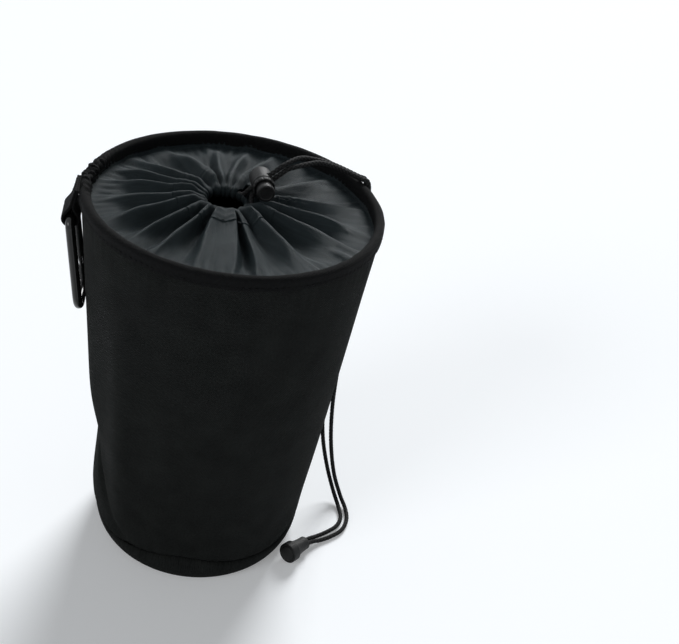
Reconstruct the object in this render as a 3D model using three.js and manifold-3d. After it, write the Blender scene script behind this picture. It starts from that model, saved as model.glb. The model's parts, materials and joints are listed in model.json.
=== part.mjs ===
// A peg bag: a soft tapered bag with a hooped rim, a gathered drawstring mouth with a cord lock,
// and a snap hook on a webbing loop. Millimetres, +Z up, origin at the middle of the base on the floor.

import * as THREE from "three";
import { mergeVertices } from "three/addons/utils/BufferGeometryUtils.js";
import Module from "manifold-3d";

const wasm = await Module();
wasm.setup();

// Bag
const BAG_HEIGHT = 230;
const RIM_RADIUS = 80;
const BASE_RADIUS = 64;
const BASE_FLAT_RADIUS = 57;
const BASE_SEAM_HEIGHT = 17;
const WALL_BELLY = 1;
const CLOTH = 1.2;
const LINING = 0.8;
const TAPE = 1.4;
const BASE_TAPE_WIDTH = 9;
const SIDE_TAPE_WIDTH = 9;
const SIDE_TAPE_END_GAP = 8;
const SIDE_SEAM_AZIMUTH = 90;
const SEW_GAP = 0.45;
const GAP = 0.3;

// Rim
const BINDING = 0.9;
const BINDING_OUTER_DROP = 4.5;
const BINDING_INNER_DROP = 4.8;
const HOOP_DIAMETER = 2.6;
const HOOP_EASE = 0.4;

// Gathered mouth
const MOUTH_X = -5;
const MOUTH_Y = 1;
const MOUTH_DROP = 5.5;
const COLLAR_SEAM_DROP = 8.7;
const COLLAR_SEAM_INSET = 2.4;
const PLEAT_DEPTH = 3.5;
const PLEAT_AT_STITCH = 0.55;
const PLEAT_START = 15;
const PLEAT_FULL = 38;
const PLEAT_FADE = 50;
const PLEAT_END = 73;
const CASING_CLOTH = 0.7;
const CASING_REACH = 28;
const CASING_LAP = 4;
const CASING_TUCK = 1;

// Each pleat's crest: its bearing in degrees at the casing and at the rim, and its share of the full depth.
const CREST_BEARINGS = [
  [-152, -153], [-131, -135], [-114, -124], [-89, -95], [-47, -58], [-23, -24],
  [-4, -8], [14, 12], [34, 43], [56, 60], [74, 75], [95, 98],
  [114, 129], [147, 147], [159, 160], [175, 171], [192, 190],
];
const CREST_SHARES = [
  0.95, 0.85, 0.95, 1, 1, 0.95,
  0.8, 0.6, 0.6, 0.6, 0.75, 0.8,
  0.95, 0.95, 0.75, 0.95, 0.7,
];

// Drawstring and cord lock
const CORD_DIAMETER = 2.8;
const CORD_EASE = 0.35;
const CORD_SPACING = 3.2;
const CORD_RING_RADIUS = 13.5;
const CORD_EXIT_HALF_ANGLE = 32;
const CORD_LEAD_SHARE = 0.28;
const CASING_EXIT_MARGIN = 6;
const CASING_EXIT_REACH = 4.5;
const LOCK_REACH = 20.1;
const LOCK_AZIMUTH = 26.6;
const LOCK_REST_GAP = 1;
const LOCK_TURN = 12;
const LOCK_RISE_ANGLE = 42;
const LOCK_SLIDE = 8;
const LOCK_RADIUS = 6;
const LOCK_WALL = 1.3;
const LOCK_FLOOR = 1.2;
const LOCK_COLLAR = 6;
const LOCK_EDGE = 0.8;
const LOCK_GRIPS = 12;
const LOCK_GRIP_DEPTH = 0.35;
const LOCK_GRIP_LENGTH = 3.2;
const BUTTON_TRAVEL = 2.8;
const BUTTON_EASE = 0.3;
const BUTTON_HEAD_RADIUS = 4.8;
const BUTTON_HEAD_HEIGHT = 2.8;
const BUTTON_SOLE = 1.25;
const SPRING_ROOM = 1.8;
const LOCK_SPRING_WIRE = 0.5;
const LOCK_SPRING_RADIUS = 2.6;
const LOCK_SPRING_TURNS = 2;

// Cord end bell
const BELL_NECK = [70.8, -25.6, 5];
const BELL_END = [59, -39.2, 7.4];
const BELL_LENGTH = 17.4;
const BELL_NECK_RADIUS = 4.2;
const BELL_RADIUS = 6.4;
const BELL_WALL = 1.2;
const BELL_THROAT = 5.6;
const BELL_FLARE_SHARE = 0.7;
const CAP_SEAT_DEPTH = 2;
const CAP_SEAT_LEDGE = 0.6;
const CAP_CROWN = 0.9;
const KNOT_SHOULDER = 1;
const BELL_CORD_SPACING = 3;

// Snap hook on its webbing loop
const TAB_AZIMUTH = 185;
const WEBBING = 1.4;
const WEBBING_WIDTH = 18;
const LOOP_DROP = 11.4;
const LOOP_STANDOFF = 1;
const LOOP_BORE_RADIUS = 3.4;
const HOOK_BAR = 5;
const HOOK_LENGTH = 55;
const HOOK_TOP_WIDTH = 24;
const HOOK_FLARE = 4;
const HOOK_TOP_CORNER = 5;
const HOOK_BOTTOM_CORNER = 11;
const HOOK_REST_GAP = 0.6;
const PIVOT_DROP = 11;
const GATE_REACH = 27;
const GATE_TAIL = 2.4;
const GATE_TIP = 3;
const GATE_SHOULDER_GAP = 0.5;
const PIVOT_SHOULDER = 4.6;
const TONGUE = 2;
const TONGUE_EASE = 0.3;
const TONGUE_RADIUS = 2;
const TONGUE_ROOT = 1.4;
const PIN_RADIUS = 0.8;
const PIN_EASE = 0.12;
const LATCH_EASE = 0.35;
const PLUNGER_RADIUS = 0.95;
const PLUNGER_LENGTH = 4;
const PLUNGER_GAP = 0.65;
const PLUNGER_BORE_EASE = 0.3;
const GATE_SPRING_LENGTH = 5.8;
const GATE_SPRING_WIRE = 0.32;
const GATE_SPRING_TURNS = 6;

// Facets
const RING_SEGMENTS = 48;
const PLEAT_SEGMENTS = 4;
const TURNED_SEGMENTS = 20;
const BAR_SIDES = 12;
const CORD_SIDES = 8;
const PIN_SIDES = 10;
const GROOVE_SIDES = 6;
const HOOP_SIDES = 8;
const COIL_STEPS = 8;
const COIL_SIDES = 5;
const WALL_STEPS = 5;
const BASE_CURL_STEPS = 5;
const FOLD_STEPS = 4;
const EXIT_STEPS = 8;
const FLARE_STEPS = 4;
const CROWN_STEPS = 3;
const LOOP_ROUND_STEPS = 10;
const TONGUE_STEPS = 8;
const TAIL_STEPS = 46;
const LOOP_STEPS = 32;
const HOOK_STEPS = 46;

// How far a cutting block reaches past what it cuts
const CUT = 20;

// The route of each drawstring tail after the lock: over the gathers, over the rim, down beside the
// wall and along the floor to the bell.
const FRONT_TAIL = [
  [33.2, 16.8, 244.9], [41.8, 23.7, 244.4], [50.8, 29.1, 241.0], [59.7, 33.1, 236.6],
  [68.1, 36.1, 232.4], [71.9, 38.1, 230.4], [73.6, 38.9, 225.9], [74.1, 39.0, 214.0],
  [75.0, 39.1, 180.0], [76.2, 39.1, 140.0], [77.6, 38.6, 100.0], [79.4, 37.2, 66.0],
  [83.2, 33.4, 38.0], [88.6, 27.0, 17.5], [94.6, 19.8, 5.6], [98.6, 11.2, 1.7],
  [99.1, 1.6, 1.6], [95.3, -8.2, 1.6], [87.8, -15.1, 1.6], [80.9, -19.5, 2.0], [75.6, -23.0, 3.7],
];
const BACK_TAIL = [
  [31.2, 20.4, 247.0], [40.2, 26.3, 244.6], [49.2, 31.9, 241.0], [58.3, 35.9, 236.6],
  [66.7, 38.9, 232.4], [70.5, 40.9, 230.4], [72.0, 41.7, 225.9], [72.3, 42.0, 214.0],
  [72.3, 42.5, 180.0], [72.4, 42.9, 140.0], [72.6, 43.0, 100.0], [73.8, 42.0, 66.0],
  [77.8, 38.6, 38.0], [84.2, 31.8, 17.5], [90.2, 22.2, 5.6], [93.9, 12.6, 1.7],
  [95.1, 2.6, 1.6], [91.9, -5.2, 1.6], [85.6, -11.2, 1.6], [78.8, -16.2, 2.0], [73.9, -20.4, 3.7],
];

// Finishes
const finish = (color, roughness, metalness = 0) =>
  new THREE.MeshStandardMaterial({ color, roughness, metalness });
const oxford = finish(0x17181a, 0.9);
const binding = finish(0x141517, 0.85);
const satin = finish(0x33383b, 0.45);
const webbing = finish(0x121314, 0.9);
const braid = finish(0x16171a, 0.85);
const moulding = finish(0x1a1b1d, 0.4);
const enamel = finish(0x111211, 0.25, 0.6);
const steel = finish(0xb9bcbf, 0.3, 1);

// Helpers
const FULL_TURN = 360;
const QUAD_CORNERS = 6;
const rad = THREE.MathUtils.degToRad;
const smooth = THREE.MathUtils.smoothstep;
const at = (x, y) => new THREE.Vector2(x, y);
const point = (x, y, z) => new THREE.Vector3(x, y, z);

const bag = new THREE.Group();

function piece(name, geometry, material, parent = bag) {
  const mesh = new THREE.Mesh(geometry, material);
  mesh.name = name;
  parent.add(mesh);
}

function group(parent) {
  const made = new THREE.Group();
  parent.add(made);
  return made;
}

// Points of an elliptical arc, angles in degrees.
function arc(cx, cy, rx, ry, from, to, steps) {
  return Array.from({ length: steps + 1 }, (_, i) => {
    const angle = rad(from + ((to - from) * i) / steps);
    return at(cx + rx * Math.cos(angle), cy + ry * Math.sin(angle));
  });
}

// Points of a whole circle, each corner once.
function circle(cx, cy, radius, sides) {
  return arc(cx, cy, radius, radius, 0, FULL_TURN - FULL_TURN / sides, sides - 1);
}

// The closed outline of a strip of even thickness along a middle line.
function strip(line, thickness) {
  const side = (sign) =>
    line.map((here, i) => {
      const before = line[Math.max(i - 1, 0)];
      const after = line[Math.min(i + 1, line.length - 1)];
      const along = after.clone().sub(before).normalize();
      return at(here.x - along.y * sign * (thickness / 2), here.y + along.x * sign * (thickness / 2));
    });
  return [...side(1), ...side(-1).reverse()];
}

// A profile of radius and height turned about Z; a profile off the axis is closed on itself.
function revolve(profile, segments) {
  const onAxis = profile[0].x === 0;
  const outline = onAxis ? profile : [...profile, profile[0].clone()];
  const area = THREE.ShapeUtils.area(profile);
  const turned = new THREE.LatheGeometry(area > 0 ? outline : outline.slice().reverse(), segments);
  return turned.rotateX(Math.PI / 2);
}

// An outline of radius and height pushed sideways along Y, centred.
function extrudeAcross(outline, width) {
  const made = new THREE.ExtrudeGeometry(new THREE.Shape(outline), { depth: width, bevelEnabled: false });
  return made.rotateX(Math.PI / 2).translate(0, width / 2, 0);
}

function disc(radius, sides) {
  return new THREE.Shape(circle(0, 0, radius, sides));
}

function sweep(section, path, steps) {
  return new THREE.ExtrudeGeometry(section, { steps, extrudePath: path });
}

function rod(radius, length, sides) {
  return new THREE.CylinderGeometry(radius, radius, length, sides);
}

function block(x0, x1, y0, y1, z0, z1) {
  const made = new THREE.BoxGeometry(x1 - x0, y1 - y0, z1 - z0);
  return made.translate((x0 + x1) / 2, (y0 + y1) / 2, (z0 + z1) / 2);
}

function toSolid(geometry) {
  const bare = geometry.clone();
  bare.deleteAttribute("normal");
  bare.deleteAttribute("uv");
  const merged = mergeVertices(bare, 1e-4);
  const vertProperties = new Float32Array(merged.attributes.position.array);
  const triVerts = new Uint32Array(merged.index.array);
  return new wasm.Manifold(new wasm.Mesh({ numProp: 3, vertProperties, triVerts }));
}

function toGeometry(solid) {
  const { vertProperties, triVerts } = solid.getMesh();
  const made = new THREE.BufferGeometry();
  made.setAttribute("position", new THREE.BufferAttribute(vertProperties, 3));
  made.setIndex(new THREE.BufferAttribute(triVerts, 1));
  made.computeVertexNormals();
  return made;
}

const cut = (geometry, ...tools) =>
  toGeometry(tools.reduce((solid, tool) => solid.subtract(toSolid(tool)), toSolid(geometry)));
const join = (geometry, ...others) =>
  toGeometry(others.reduce((solid, other) => solid.add(toSolid(other)), toSolid(geometry)));

// A coil spring along Z from the origin.
class Coil extends THREE.Curve {
  constructor(radius, length, turns) {
    super();
    Object.assign(this, { radius, length, turns });
  }

  getPoint(t, target = new THREE.Vector3()) {
    const angle = 2 * Math.PI * this.turns * t;
    return target.set(this.radius * Math.cos(angle), this.radius * Math.sin(angle), this.length * t);
  }
}

function spring(radius, length, turns, wire) {
  const coil = new Coil(radius, length - wire, turns);
  return sweep(disc(wire / 2, COIL_SIDES), coil, turns * COIL_STEPS).translate(0, 0, wire / 2);
}

// Rim sizes that the wall, the collar and the loop share
const sewnLayers = CLOTH + SEW_GAP + LINING;
const bindingBore = Math.max(HOOP_DIAMETER, sewnLayers) / 2 + HOOP_EASE;
const hoopRadius = RIM_RADIUS - BINDING - bindingBore;
const hoopHeight = BAG_HEIGHT - BINDING - bindingBore;
const bindingFoot = hoopHeight - BINDING_OUTER_DROP;
const wallTop = hoopHeight - HOOP_DIAMETER / 2 - HOOP_EASE;
const wallTopRadius = hoopRadius + sewnLayers / 2;
const flangeRadius = hoopRadius - sewnLayers / 2 + LINING / 2;

function wallRadius(z) {
  const share = (z - BASE_SEAM_HEIGHT) / (wallTop - BASE_SEAM_HEIGHT);
  return BASE_RADIUS + (wallTopRadius - BASE_RADIUS) * share + WALL_BELLY * Math.sin(Math.PI * share);
}

// The wall's middle line moved inwards, between two heights.
function wallLine(low, high, inset, steps) {
  const height = (i) => low + ((high - low) * i) / steps;
  return Array.from({ length: steps + 1 }, (_, i) => at(wallRadius(height(i)) - inset, height(i)));
}

// Body: the tapered wall, its side seam tape, the dished base and its seam tape
function addBody() {
  const wallFoot = BASE_SEAM_HEIGHT + GAP;
  const outside = wallLine(wallFoot, wallTop, 0, WALL_STEPS);
  const inside = wallLine(wallFoot, wallTop, CLOTH, WALL_STEPS);
  piece("body_panel", revolve([...outside, ...inside.reverse()], RING_SEGMENTS), oxford);

  const curl = BASE_RADIUS - BASE_FLAT_RADIUS;
  const curlLine = (inset, from, to) => {
    const [reach, height] = [curl - inset, BASE_SEAM_HEIGHT - inset];
    return arc(BASE_FLAT_RADIUS, BASE_SEAM_HEIGHT, reach, height, from, to, BASE_CURL_STEPS);
  };
  const under = curlLine(0, -90, 0);
  const upper = curlLine(CLOTH, 0, -90);
  piece("base_panel", revolve([at(0, 0), ...under, ...upper, at(0, CLOTH)], RING_SEGMENTS), oxford);

  const tapeInset = CLOTH + GAP + TAPE / 2;
  const tapeFoot = wallFoot + GAP;
  const baseTape = strip(wallLine(tapeFoot, tapeFoot + BASE_TAPE_WIDTH, tapeInset, 1), TAPE);
  piece("base_seam_tape", revolve(baseTape, RING_SEGMENTS), binding);

  const sideFoot = tapeFoot + BASE_TAPE_WIDTH + GAP;
  const sideTop = hoopHeight - BINDING_INNER_DROP - SIDE_TAPE_END_GAP;
  const flatness = wallRadius(sideFoot) * (1 - Math.cos(Math.PI / RING_SEGMENTS));
  const chordDepth = BASE_RADIUS - Math.sqrt(BASE_RADIUS ** 2 - (SIDE_TAPE_WIDTH / 2) ** 2);
  const sideLine = wallLine(sideFoot, sideTop, tapeInset + flatness + chordDepth, WALL_STEPS);
  const sideTape = extrudeAcross(strip(sideLine, TAPE), SIDE_TAPE_WIDTH);
  piece("side_seam_tape", sideTape.rotateZ(rad(SIDE_SEAM_AZIMUTH)), binding);
}

// Rim: a wire hoop inside a folded binding
function addRim() {
  const ring = circle(hoopRadius, hoopHeight, HOOP_DIAMETER / 2, HOOP_SIDES);
  piece("rim_hoop", revolve(ring, RING_SEGMENTS), steel);

  const middle = bindingBore + BINDING / 2;
  const fold = [
    at(hoopRadius + middle, bindingFoot),
    ...arc(hoopRadius, hoopHeight, middle, middle, 0, 180, FOLD_STEPS),
    at(hoopRadius - middle, hoopHeight - BINDING_INNER_DROP),
  ];
  piece("rim_binding", revolve(strip(fold, BINDING), RING_SEGMENTS), binding);
}

// Sizes that the collar, the casing and the lock share
const mouthHeight = BAG_HEIGHT - MOUTH_DROP;
const collarSeam = BAG_HEIGHT - COLLAR_SEAM_DROP;
const gatherSegments = CREST_BEARINGS.length * PLEAT_SEGMENTS;
const collarEdge = CASING_REACH - CASING_LAP;
const casingHalf = LINING / 2 + CORD_EASE + CASING_CLOTH / 2;
const casingCrown = CORD_DIAMETER / 2 + CORD_EASE + CASING_CLOTH;
const casingNose = CORD_RING_RADIUS - CORD_DIAMETER / 2 - CORD_EASE - CASING_CLOTH / 2;

// Gathers: a place round the mouth is counted in pleats, a whole number on each crest.
function crestAt(count) {
  const turns = Math.floor(count / CREST_BEARINGS.length);
  const index = count - turns * CREST_BEARINGS.length;
  const [casing, rim] = CREST_BEARINGS[index];
  return { casing: casing + turns * FULL_TURN, rim: rim + turns * FULL_TURN, share: CREST_SHARES[index] };
}

// Bearing and height of the cloth at a distance from the mouth's middle and a count of pleats.
function pleat(radius, count) {
  const before = crestAt(Math.floor(count));
  const after = crestAt(Math.floor(count) + 1);
  const blend = (key) => THREE.MathUtils.lerp(before[key], after[key], count - Math.floor(count));
  const spread = THREE.MathUtils.clamp((radius - CASING_REACH) / (PLEAT_END - CASING_REACH), 0, 1);
  const bearing = rad(THREE.MathUtils.lerp(blend("casing"), blend("rim"), spread));
  const inBand = PLEAT_AT_STITCH * smooth(radius, PLEAT_START, collarEdge - CASING_TUCK);
  const beyond = (1 - PLEAT_AT_STITCH) * smooth(radius, CASING_REACH, PLEAT_FULL);
  const fade = 1 - smooth(radius, PLEAT_FADE, PLEAT_END);
  const depth = PLEAT_DEPTH * (inBand + beyond) * fade * blend("share");
  return { bearing, rise: depth * Math.cos(2 * Math.PI * count) };
}

// The gathers lean towards the mouth, which sits off the rim's axis.
function mouthPull(radius) {
  return 1 - smooth(radius, CASING_REACH, PLEAT_END);
}

// The two faces of a turned sheet run opposite ways, so one of them is split along its other diagonals:
// both then fold alike, and the sheet keeps its thickness in the pleats.
function pairFaces(geometry) {
  const quads = geometry.parameters.points.length - 1;
  const corners = geometry.index;
  for (let first = 0; first < corners.count; first += QUAD_CORNERS) {
    if ((first / QUAD_CORNERS) % quads >= quads / 2) {
      const [a, b, d, c] = corners.array.slice(first, first + QUAD_CORNERS);
      corners.set([a, b, c, a, c, d], first);
    }
  }
}

function gather(geometry) {
  pairFaces(geometry);
  const place = geometry.attributes.position;
  for (let i = 0; i < place.count; i += 1) {
    const [x, y] = [place.getX(i), place.getY(i)];
    const radius = Math.hypot(x, y);
    const pull = mouthPull(radius);
    const share = Math.atan2(y, x) / (2 * Math.PI);
    const count = Math.round(share * gatherSegments) / PLEAT_SEGMENTS;
    const { bearing, rise } = pleat(radius, count);
    const gatheredX = radius * Math.cos(bearing) + MOUTH_X * pull;
    const gatheredY = radius * Math.sin(bearing) + MOUTH_Y * pull;
    place.setXYZ(i, gatheredX, gatheredY, place.getZ(i) + rise);
  }
  geometry.computeVertexNormals();
  return geometry;
}

function addCollar() {
  const seamRadius = flangeRadius - COLLAR_SEAM_INSET;
  const crown = (radius) => {
    const share = (seamRadius - radius) / (seamRadius - CASING_REACH);
    return collarSeam + (mouthHeight - collarSeam) * Math.min(share, 1);
  };
  const span = [(seamRadius + PLEAT_FULL) / 2, PLEAT_FULL, CASING_REACH, collarEdge];
  const sheet = [
    at(flangeRadius, wallTop),
    at(flangeRadius, collarSeam + LINING),
    at(seamRadius, collarSeam),
    ...span.map((radius) => at(radius, crown(radius))),
  ];
  piece("gather_collar", gather(revolve(strip(sheet, LINING), gatherSegments)), satin);
}

// Casing: a band folded round the cord and over the collar's edge, open on top where the cords leave.
function addCasing() {
  const bulge = CORD_RING_RADIUS + CORD_DIAMETER / 2;
  const half = [
    at(CASING_REACH, casingHalf),
    at(collarEdge - CASING_TUCK, casingHalf),
    at(bulge - CORD_EASE, casingCrown),
    at(casingNose, casingCrown - CASING_CLOTH),
  ];
  const fold = [...half, ...half.map((p) => at(p.x, -p.y)).reverse()];
  const band = gather(revolve(strip(fold, CASING_CLOTH), gatherSegments));
  const halfAngle = rad(CORD_EXIT_HALF_ANGLE + CASING_EXIT_MARGIN);
  const inner = casingNose + CASING_CLOTH / 2 + CORD_EASE / 2;
  const outer = CORD_RING_RADIUS + CASING_EXIT_REACH;
  const exit = new THREE.Shape();
  exit.absarc(0, 0, outer, -halfAngle, halfAngle, false);
  exit.absarc(0, 0, inner, halfAngle, -halfAngle, true);
  const opening = new THREE.ExtrudeGeometry(exit, {
    depth: CUT,
    bevelEnabled: false,
    curveSegments: EXIT_STEPS,
  });
  opening.rotateZ(rad(LOCK_AZIMUTH)).translate(MOUTH_X, MOUTH_Y, 0);
  piece("cord_casing", cut(band, opening).translate(0, 0, mouthHeight), satin);
}

// Cord lock frame: the cords pass along X, one above the other on Y, and the button faces +Z.
const lockRise = casingCrown + CASING_CLOTH / 2 + LOCK_REST_GAP + LOCK_RADIUS;
const lockCentre = point(
  MOUTH_X + LOCK_REACH * Math.cos(rad(LOCK_AZIMUTH)),
  MOUTH_Y + LOCK_REACH * Math.sin(rad(LOCK_AZIMUTH)),
  mouthHeight + lockRise,
);
const turn = rad(LOCK_TURN);
const lift = rad(LOCK_RISE_ANGLE);
const cordWay = point(Math.cos(turn) * Math.cos(lift), Math.sin(turn) * Math.cos(lift), Math.sin(lift));
const buttonWay = point(Math.sin(turn), -Math.cos(turn), 0);
const stackWay = buttonWay.clone().cross(cordWay);

function lockPoint(along, side) {
  const across = (side * CORD_SPACING) / 2;
  return lockCentre.clone().addScaledVector(cordWay, along).addScaledVector(stackWay, across);
}

class RingArc extends THREE.Curve {
  constructor(from, to) {
    super();
    Object.assign(this, { from, to });
  }

  getPoint(t, target = new THREE.Vector3()) {
    const angle = rad(this.from + (this.to - this.from) * t);
    const reach = CORD_RING_RADIUS;
    return target.set(MOUTH_X + reach * Math.cos(angle), MOUTH_Y + reach * Math.sin(angle), mouthHeight);
  }
}

const cordSection = disc(CORD_DIAMETER / 2, CORD_SIDES);
const lockEntry = -LOCK_RADIUS - CORD_EASE;

// Drawstring: once round the casing, both ends up into the lock
function addDrawstringLoop() {
  const ringStart = LOCK_AZIMUTH + CORD_EXIT_HALF_ANGLE;
  const ring = new RingArc(ringStart, ringStart + FULL_TURN - 2 * CORD_EXIT_HALF_ANGLE);
  const lead = (ringPoint, ringWay, side) => {
    const entry = lockPoint(lockEntry, side);
    const handle = ringPoint.distanceTo(entry) * CORD_LEAD_SHARE;
    const fromRing = ringPoint.clone().addScaledVector(ringWay, handle);
    const intoLock = entry.clone().addScaledVector(cordWay, -handle);
    return [entry, intoLock, fromRing, ringPoint];
  };
  const start = lead(ring.getPoint(0), ring.getTangent(0).negate(), 1);
  const end = lead(ring.getPoint(1), ring.getTangent(1), -1).reverse();
  const path = new THREE.CurvePath();
  path.add(new THREE.LineCurve3(lockPoint(-GAP / 2, 1), start[0]));
  path.add(new THREE.CubicBezierCurve3(...start));
  path.add(ring);
  path.add(new THREE.CubicBezierCurve3(...end));
  path.add(new THREE.LineCurve3(end[3], lockPoint(-GAP / 2, -1)));
  piece("drawstring_loop", sweep(cordSection, path, LOOP_STEPS), braid);
}

// Cord lock: a barrel closed at one end, a spring and a slotted plunger with a round button
function addCordLock() {
  const lock = group(bag);
  const basis = new THREE.Matrix4().makeBasis(cordWay, stackWay, buttonWay);
  lock.quaternion.setFromRotationMatrix(basis);
  lock.position.copy(lockCentre);

  const passHeight = CORD_DIAMETER + 2 * CORD_EASE;
  const passWidth = CORD_SPACING + passHeight;
  const boreRadius = LOCK_RADIUS - LOCK_WALL;
  const soleDepth = passHeight / 2 + BUTTON_SOLE;
  const boreFloor = -(soleDepth + BUTTON_TRAVEL + SPRING_ROOM);
  const barrelFoot = boreFloor - LOCK_FLOOR;
  const pass = (low, high) => block(-CUT, CUT, -passWidth / 2, passWidth / 2, low, high);

  const shell = [
    at(0, barrelFoot),
    at(LOCK_RADIUS - LOCK_EDGE, barrelFoot),
    at(LOCK_RADIUS, barrelFoot + LOCK_EDGE),
    at(LOCK_RADIUS, LOCK_COLLAR - LOCK_EDGE),
    at(LOCK_RADIUS - LOCK_EDGE / 2, LOCK_COLLAR),
    at(boreRadius, LOCK_COLLAR),
    at(boreRadius, boreFloor),
    at(0, boreFloor),
  ];
  const gripReach = LOCK_RADIUS + LOCK_GRIP_DEPTH;
  const grips = Array.from({ length: LOCK_GRIPS }, (_, i) => {
    const groove = rod(2 * LOCK_GRIP_DEPTH, CUT, GROOVE_SIDES).rotateX(Math.PI / 2);
    groove.translate(gripReach, 0, LOCK_COLLAR - LOCK_GRIP_LENGTH + CUT / 2);
    return groove.rotateZ(((2 * i + 1) * Math.PI) / LOCK_GRIPS);
  });
  const barrel = revolve(shell, TURNED_SEGMENTS);
  piece("lock_barrel", cut(barrel, pass(-passHeight / 2, passHeight / 2), ...grips), moulding, lock);

  const stemRadius = boreRadius - BUTTON_EASE;
  const headFoot = LOCK_COLLAR + BUTTON_TRAVEL + BUTTON_EASE;
  const headTop = headFoot + BUTTON_HEAD_HEIGHT;
  const stem = [
    at(0, -soleDepth),
    at(stemRadius, -soleDepth),
    at(stemRadius, headFoot),
    at(BUTTON_HEAD_RADIUS, headFoot),
    at(BUTTON_HEAD_RADIUS, headTop - LOCK_EDGE),
    at(BUTTON_HEAD_RADIUS - LOCK_EDGE, headTop),
    at(0, headTop),
  ];
  const slot = pass(-passHeight / 2, passHeight / 2 + BUTTON_TRAVEL);
  piece("lock_button", cut(revolve(stem, TURNED_SEGMENTS), slot), moulding, lock);

  const springLength = BUTTON_TRAVEL + SPRING_ROOM - 2 * GAP;
  const coil = spring(LOCK_SPRING_RADIUS, springLength, LOCK_SPRING_TURNS, LOCK_SPRING_WIRE);
  piece("lock_spring", coil.translate(0, 0, boreFloor + GAP), steel, lock);
}

// Cord end bell: a flared moulding with a knot inside and a cap in its mouth
const bellNeck = point(...BELL_NECK);
const bellWay = point(...BELL_END).sub(bellNeck).normalize();
const bellSide = point(-bellWay.y, bellWay.x, 0).normalize();

function bellPoint(along, side) {
  const across = (side * BELL_CORD_SPACING) / 2;
  return bellNeck.clone().addScaledVector(bellWay, along).addScaledVector(bellSide, across);
}

function addTails() {
  const tail = (name, route, lockSide, bellSideSign) => {
    const straightEnd = LOCK_RADIUS + CORD_EASE + LOCK_SLIDE + CORD_EASE;
    const path = new THREE.CatmullRomCurve3([
      lockPoint(GAP / 2, lockSide),
      lockPoint(straightEnd / 2, lockSide),
      lockPoint(straightEnd, lockSide),
      ...route.map((p) => point(...p)),
      bellPoint(0, bellSideSign),
      bellPoint(BELL_THROAT / 2, bellSideSign),
      bellPoint(BELL_THROAT, bellSideSign),
    ]);
    piece(name, sweep(cordSection, path, TAIL_STEPS), braid);
  };
  tail("drawstring_tail_front", FRONT_TAIL, -1, 1);
  tail("drawstring_tail_back", BACK_TAIL, 1, -1);
}

function addCordEnd() {
  const bell = group(bag);
  bell.position.copy(bellNeck);
  bell.quaternion.setFromUnitVectors(point(0, 0, 1), bellWay);

  const throatRadius = (BELL_CORD_SPACING + CORD_DIAMETER) / 2 + CORD_EASE;
  const seatRadius = BELL_RADIUS - BELL_WALL;
  const ledge = BELL_LENGTH - CAP_SEAT_DEPTH;
  const roomRadius = seatRadius - CAP_SEAT_LEDGE;
  const roomFoot = BELL_THROAT + GAP;
  const flare = BELL_RADIUS - BELL_NECK_RADIUS;
  const outside = arc(BELL_RADIUS, 0, flare, BELL_LENGTH * BELL_FLARE_SHARE, 180, 90, FLARE_STEPS);
  const shell = [
    at(throatRadius, 0),
    ...outside,
    at(BELL_RADIUS, BELL_LENGTH - BELL_WALL),
    at(BELL_RADIUS - BELL_WALL / 2, BELL_LENGTH),
    at(seatRadius, BELL_LENGTH),
    at(seatRadius, ledge),
    at(roomRadius, ledge),
    at(roomRadius, (roomFoot + ledge) / 2),
    at(throatRadius, roomFoot),
  ];
  piece("cord_end_bell", revolve(shell, TURNED_SEGMENTS), moulding, bell);

  const capRadius = seatRadius - GAP;
  const cap = [
    at(0, ledge + GAP),
    at(capRadius, ledge + GAP),
    ...arc(0, BELL_LENGTH, capRadius, CAP_CROWN, 0, 90, CROWN_STEPS).slice(0, -1),
    at(0, BELL_LENGTH + CAP_CROWN),
  ];
  piece("cord_end_cap", revolve(cap, TURNED_SEGMENTS), moulding, bell);

  const knotFoot = roomFoot;
  const knotTop = ledge - GAP;
  const knotMiddle = (knotFoot + knotTop) / 2;
  const knot = [
    at(0, knotFoot),
    at(throatRadius - GAP, knotFoot),
    at(roomRadius - GAP, knotMiddle),
    at(roomRadius - GAP, knotTop - KNOT_SHOULDER),
    at(roomRadius / 2, knotTop),
    at(0, knotTop),
  ];
  piece("cord_end_knot", revolve(knot, TURNED_SEGMENTS), braid, bell);
}

// Webbing loop: both ends caught under the binding's foot, the loop standing out to hold the hook
const hookDrop = bindingFoot - LOOP_DROP;
const hookRadius = wallRadius(hookDrop) + LOOP_STANDOFF + WEBBING + LOOP_BORE_RADIUS;
const hanger = group(bag);
hanger.rotation.z = rad(TAB_AZIMUTH);

function addLoop() {
  const middle = LOOP_BORE_RADIUS + WEBBING / 2;
  const footHeight = bindingFoot - GAP;
  const lower = at(wallRadius(footHeight) + GAP + WEBBING / 2, footHeight);
  const upper = at(lower.x + WEBBING + GAP, footHeight);
  const tangent = (end, sign) => {
    const reach = Math.hypot(end.x - hookRadius, end.y - hookDrop);
    const bearing = Math.atan2(end.y - hookDrop, end.x - hookRadius);
    return THREE.MathUtils.radToDeg(bearing + sign * Math.acos(middle / reach));
  };
  const from = tangent(lower, 1);
  const to = tangent(upper, -1) + FULL_TURN;
  const round = arc(hookRadius, hookDrop, middle, middle, from, to, LOOP_ROUND_STEPS);
  const fold = strip([lower, ...round, upper], WEBBING);
  piece("hanging_loop", extrudeAcross(fold, WEBBING_WIDTH), webbing, hanger);
}

// Snap hook frame: the bar through the loop lies on Y, the spine at +Y and the gate at -Y
const barRadius = HOOK_BAR / 2;
const halfTop = HOOK_TOP_WIDTH / 2;
const hookFoot = wallRadius(hookDrop - HOOK_LENGTH) + barRadius + HOOK_REST_GAP;
const hookLean = Math.asin((hookRadius - hookFoot) / HOOK_LENGTH);
const hook = group(hanger);
hook.position.set(hookRadius, 0, hookDrop);
hook.rotation.y = hookLean;

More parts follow.
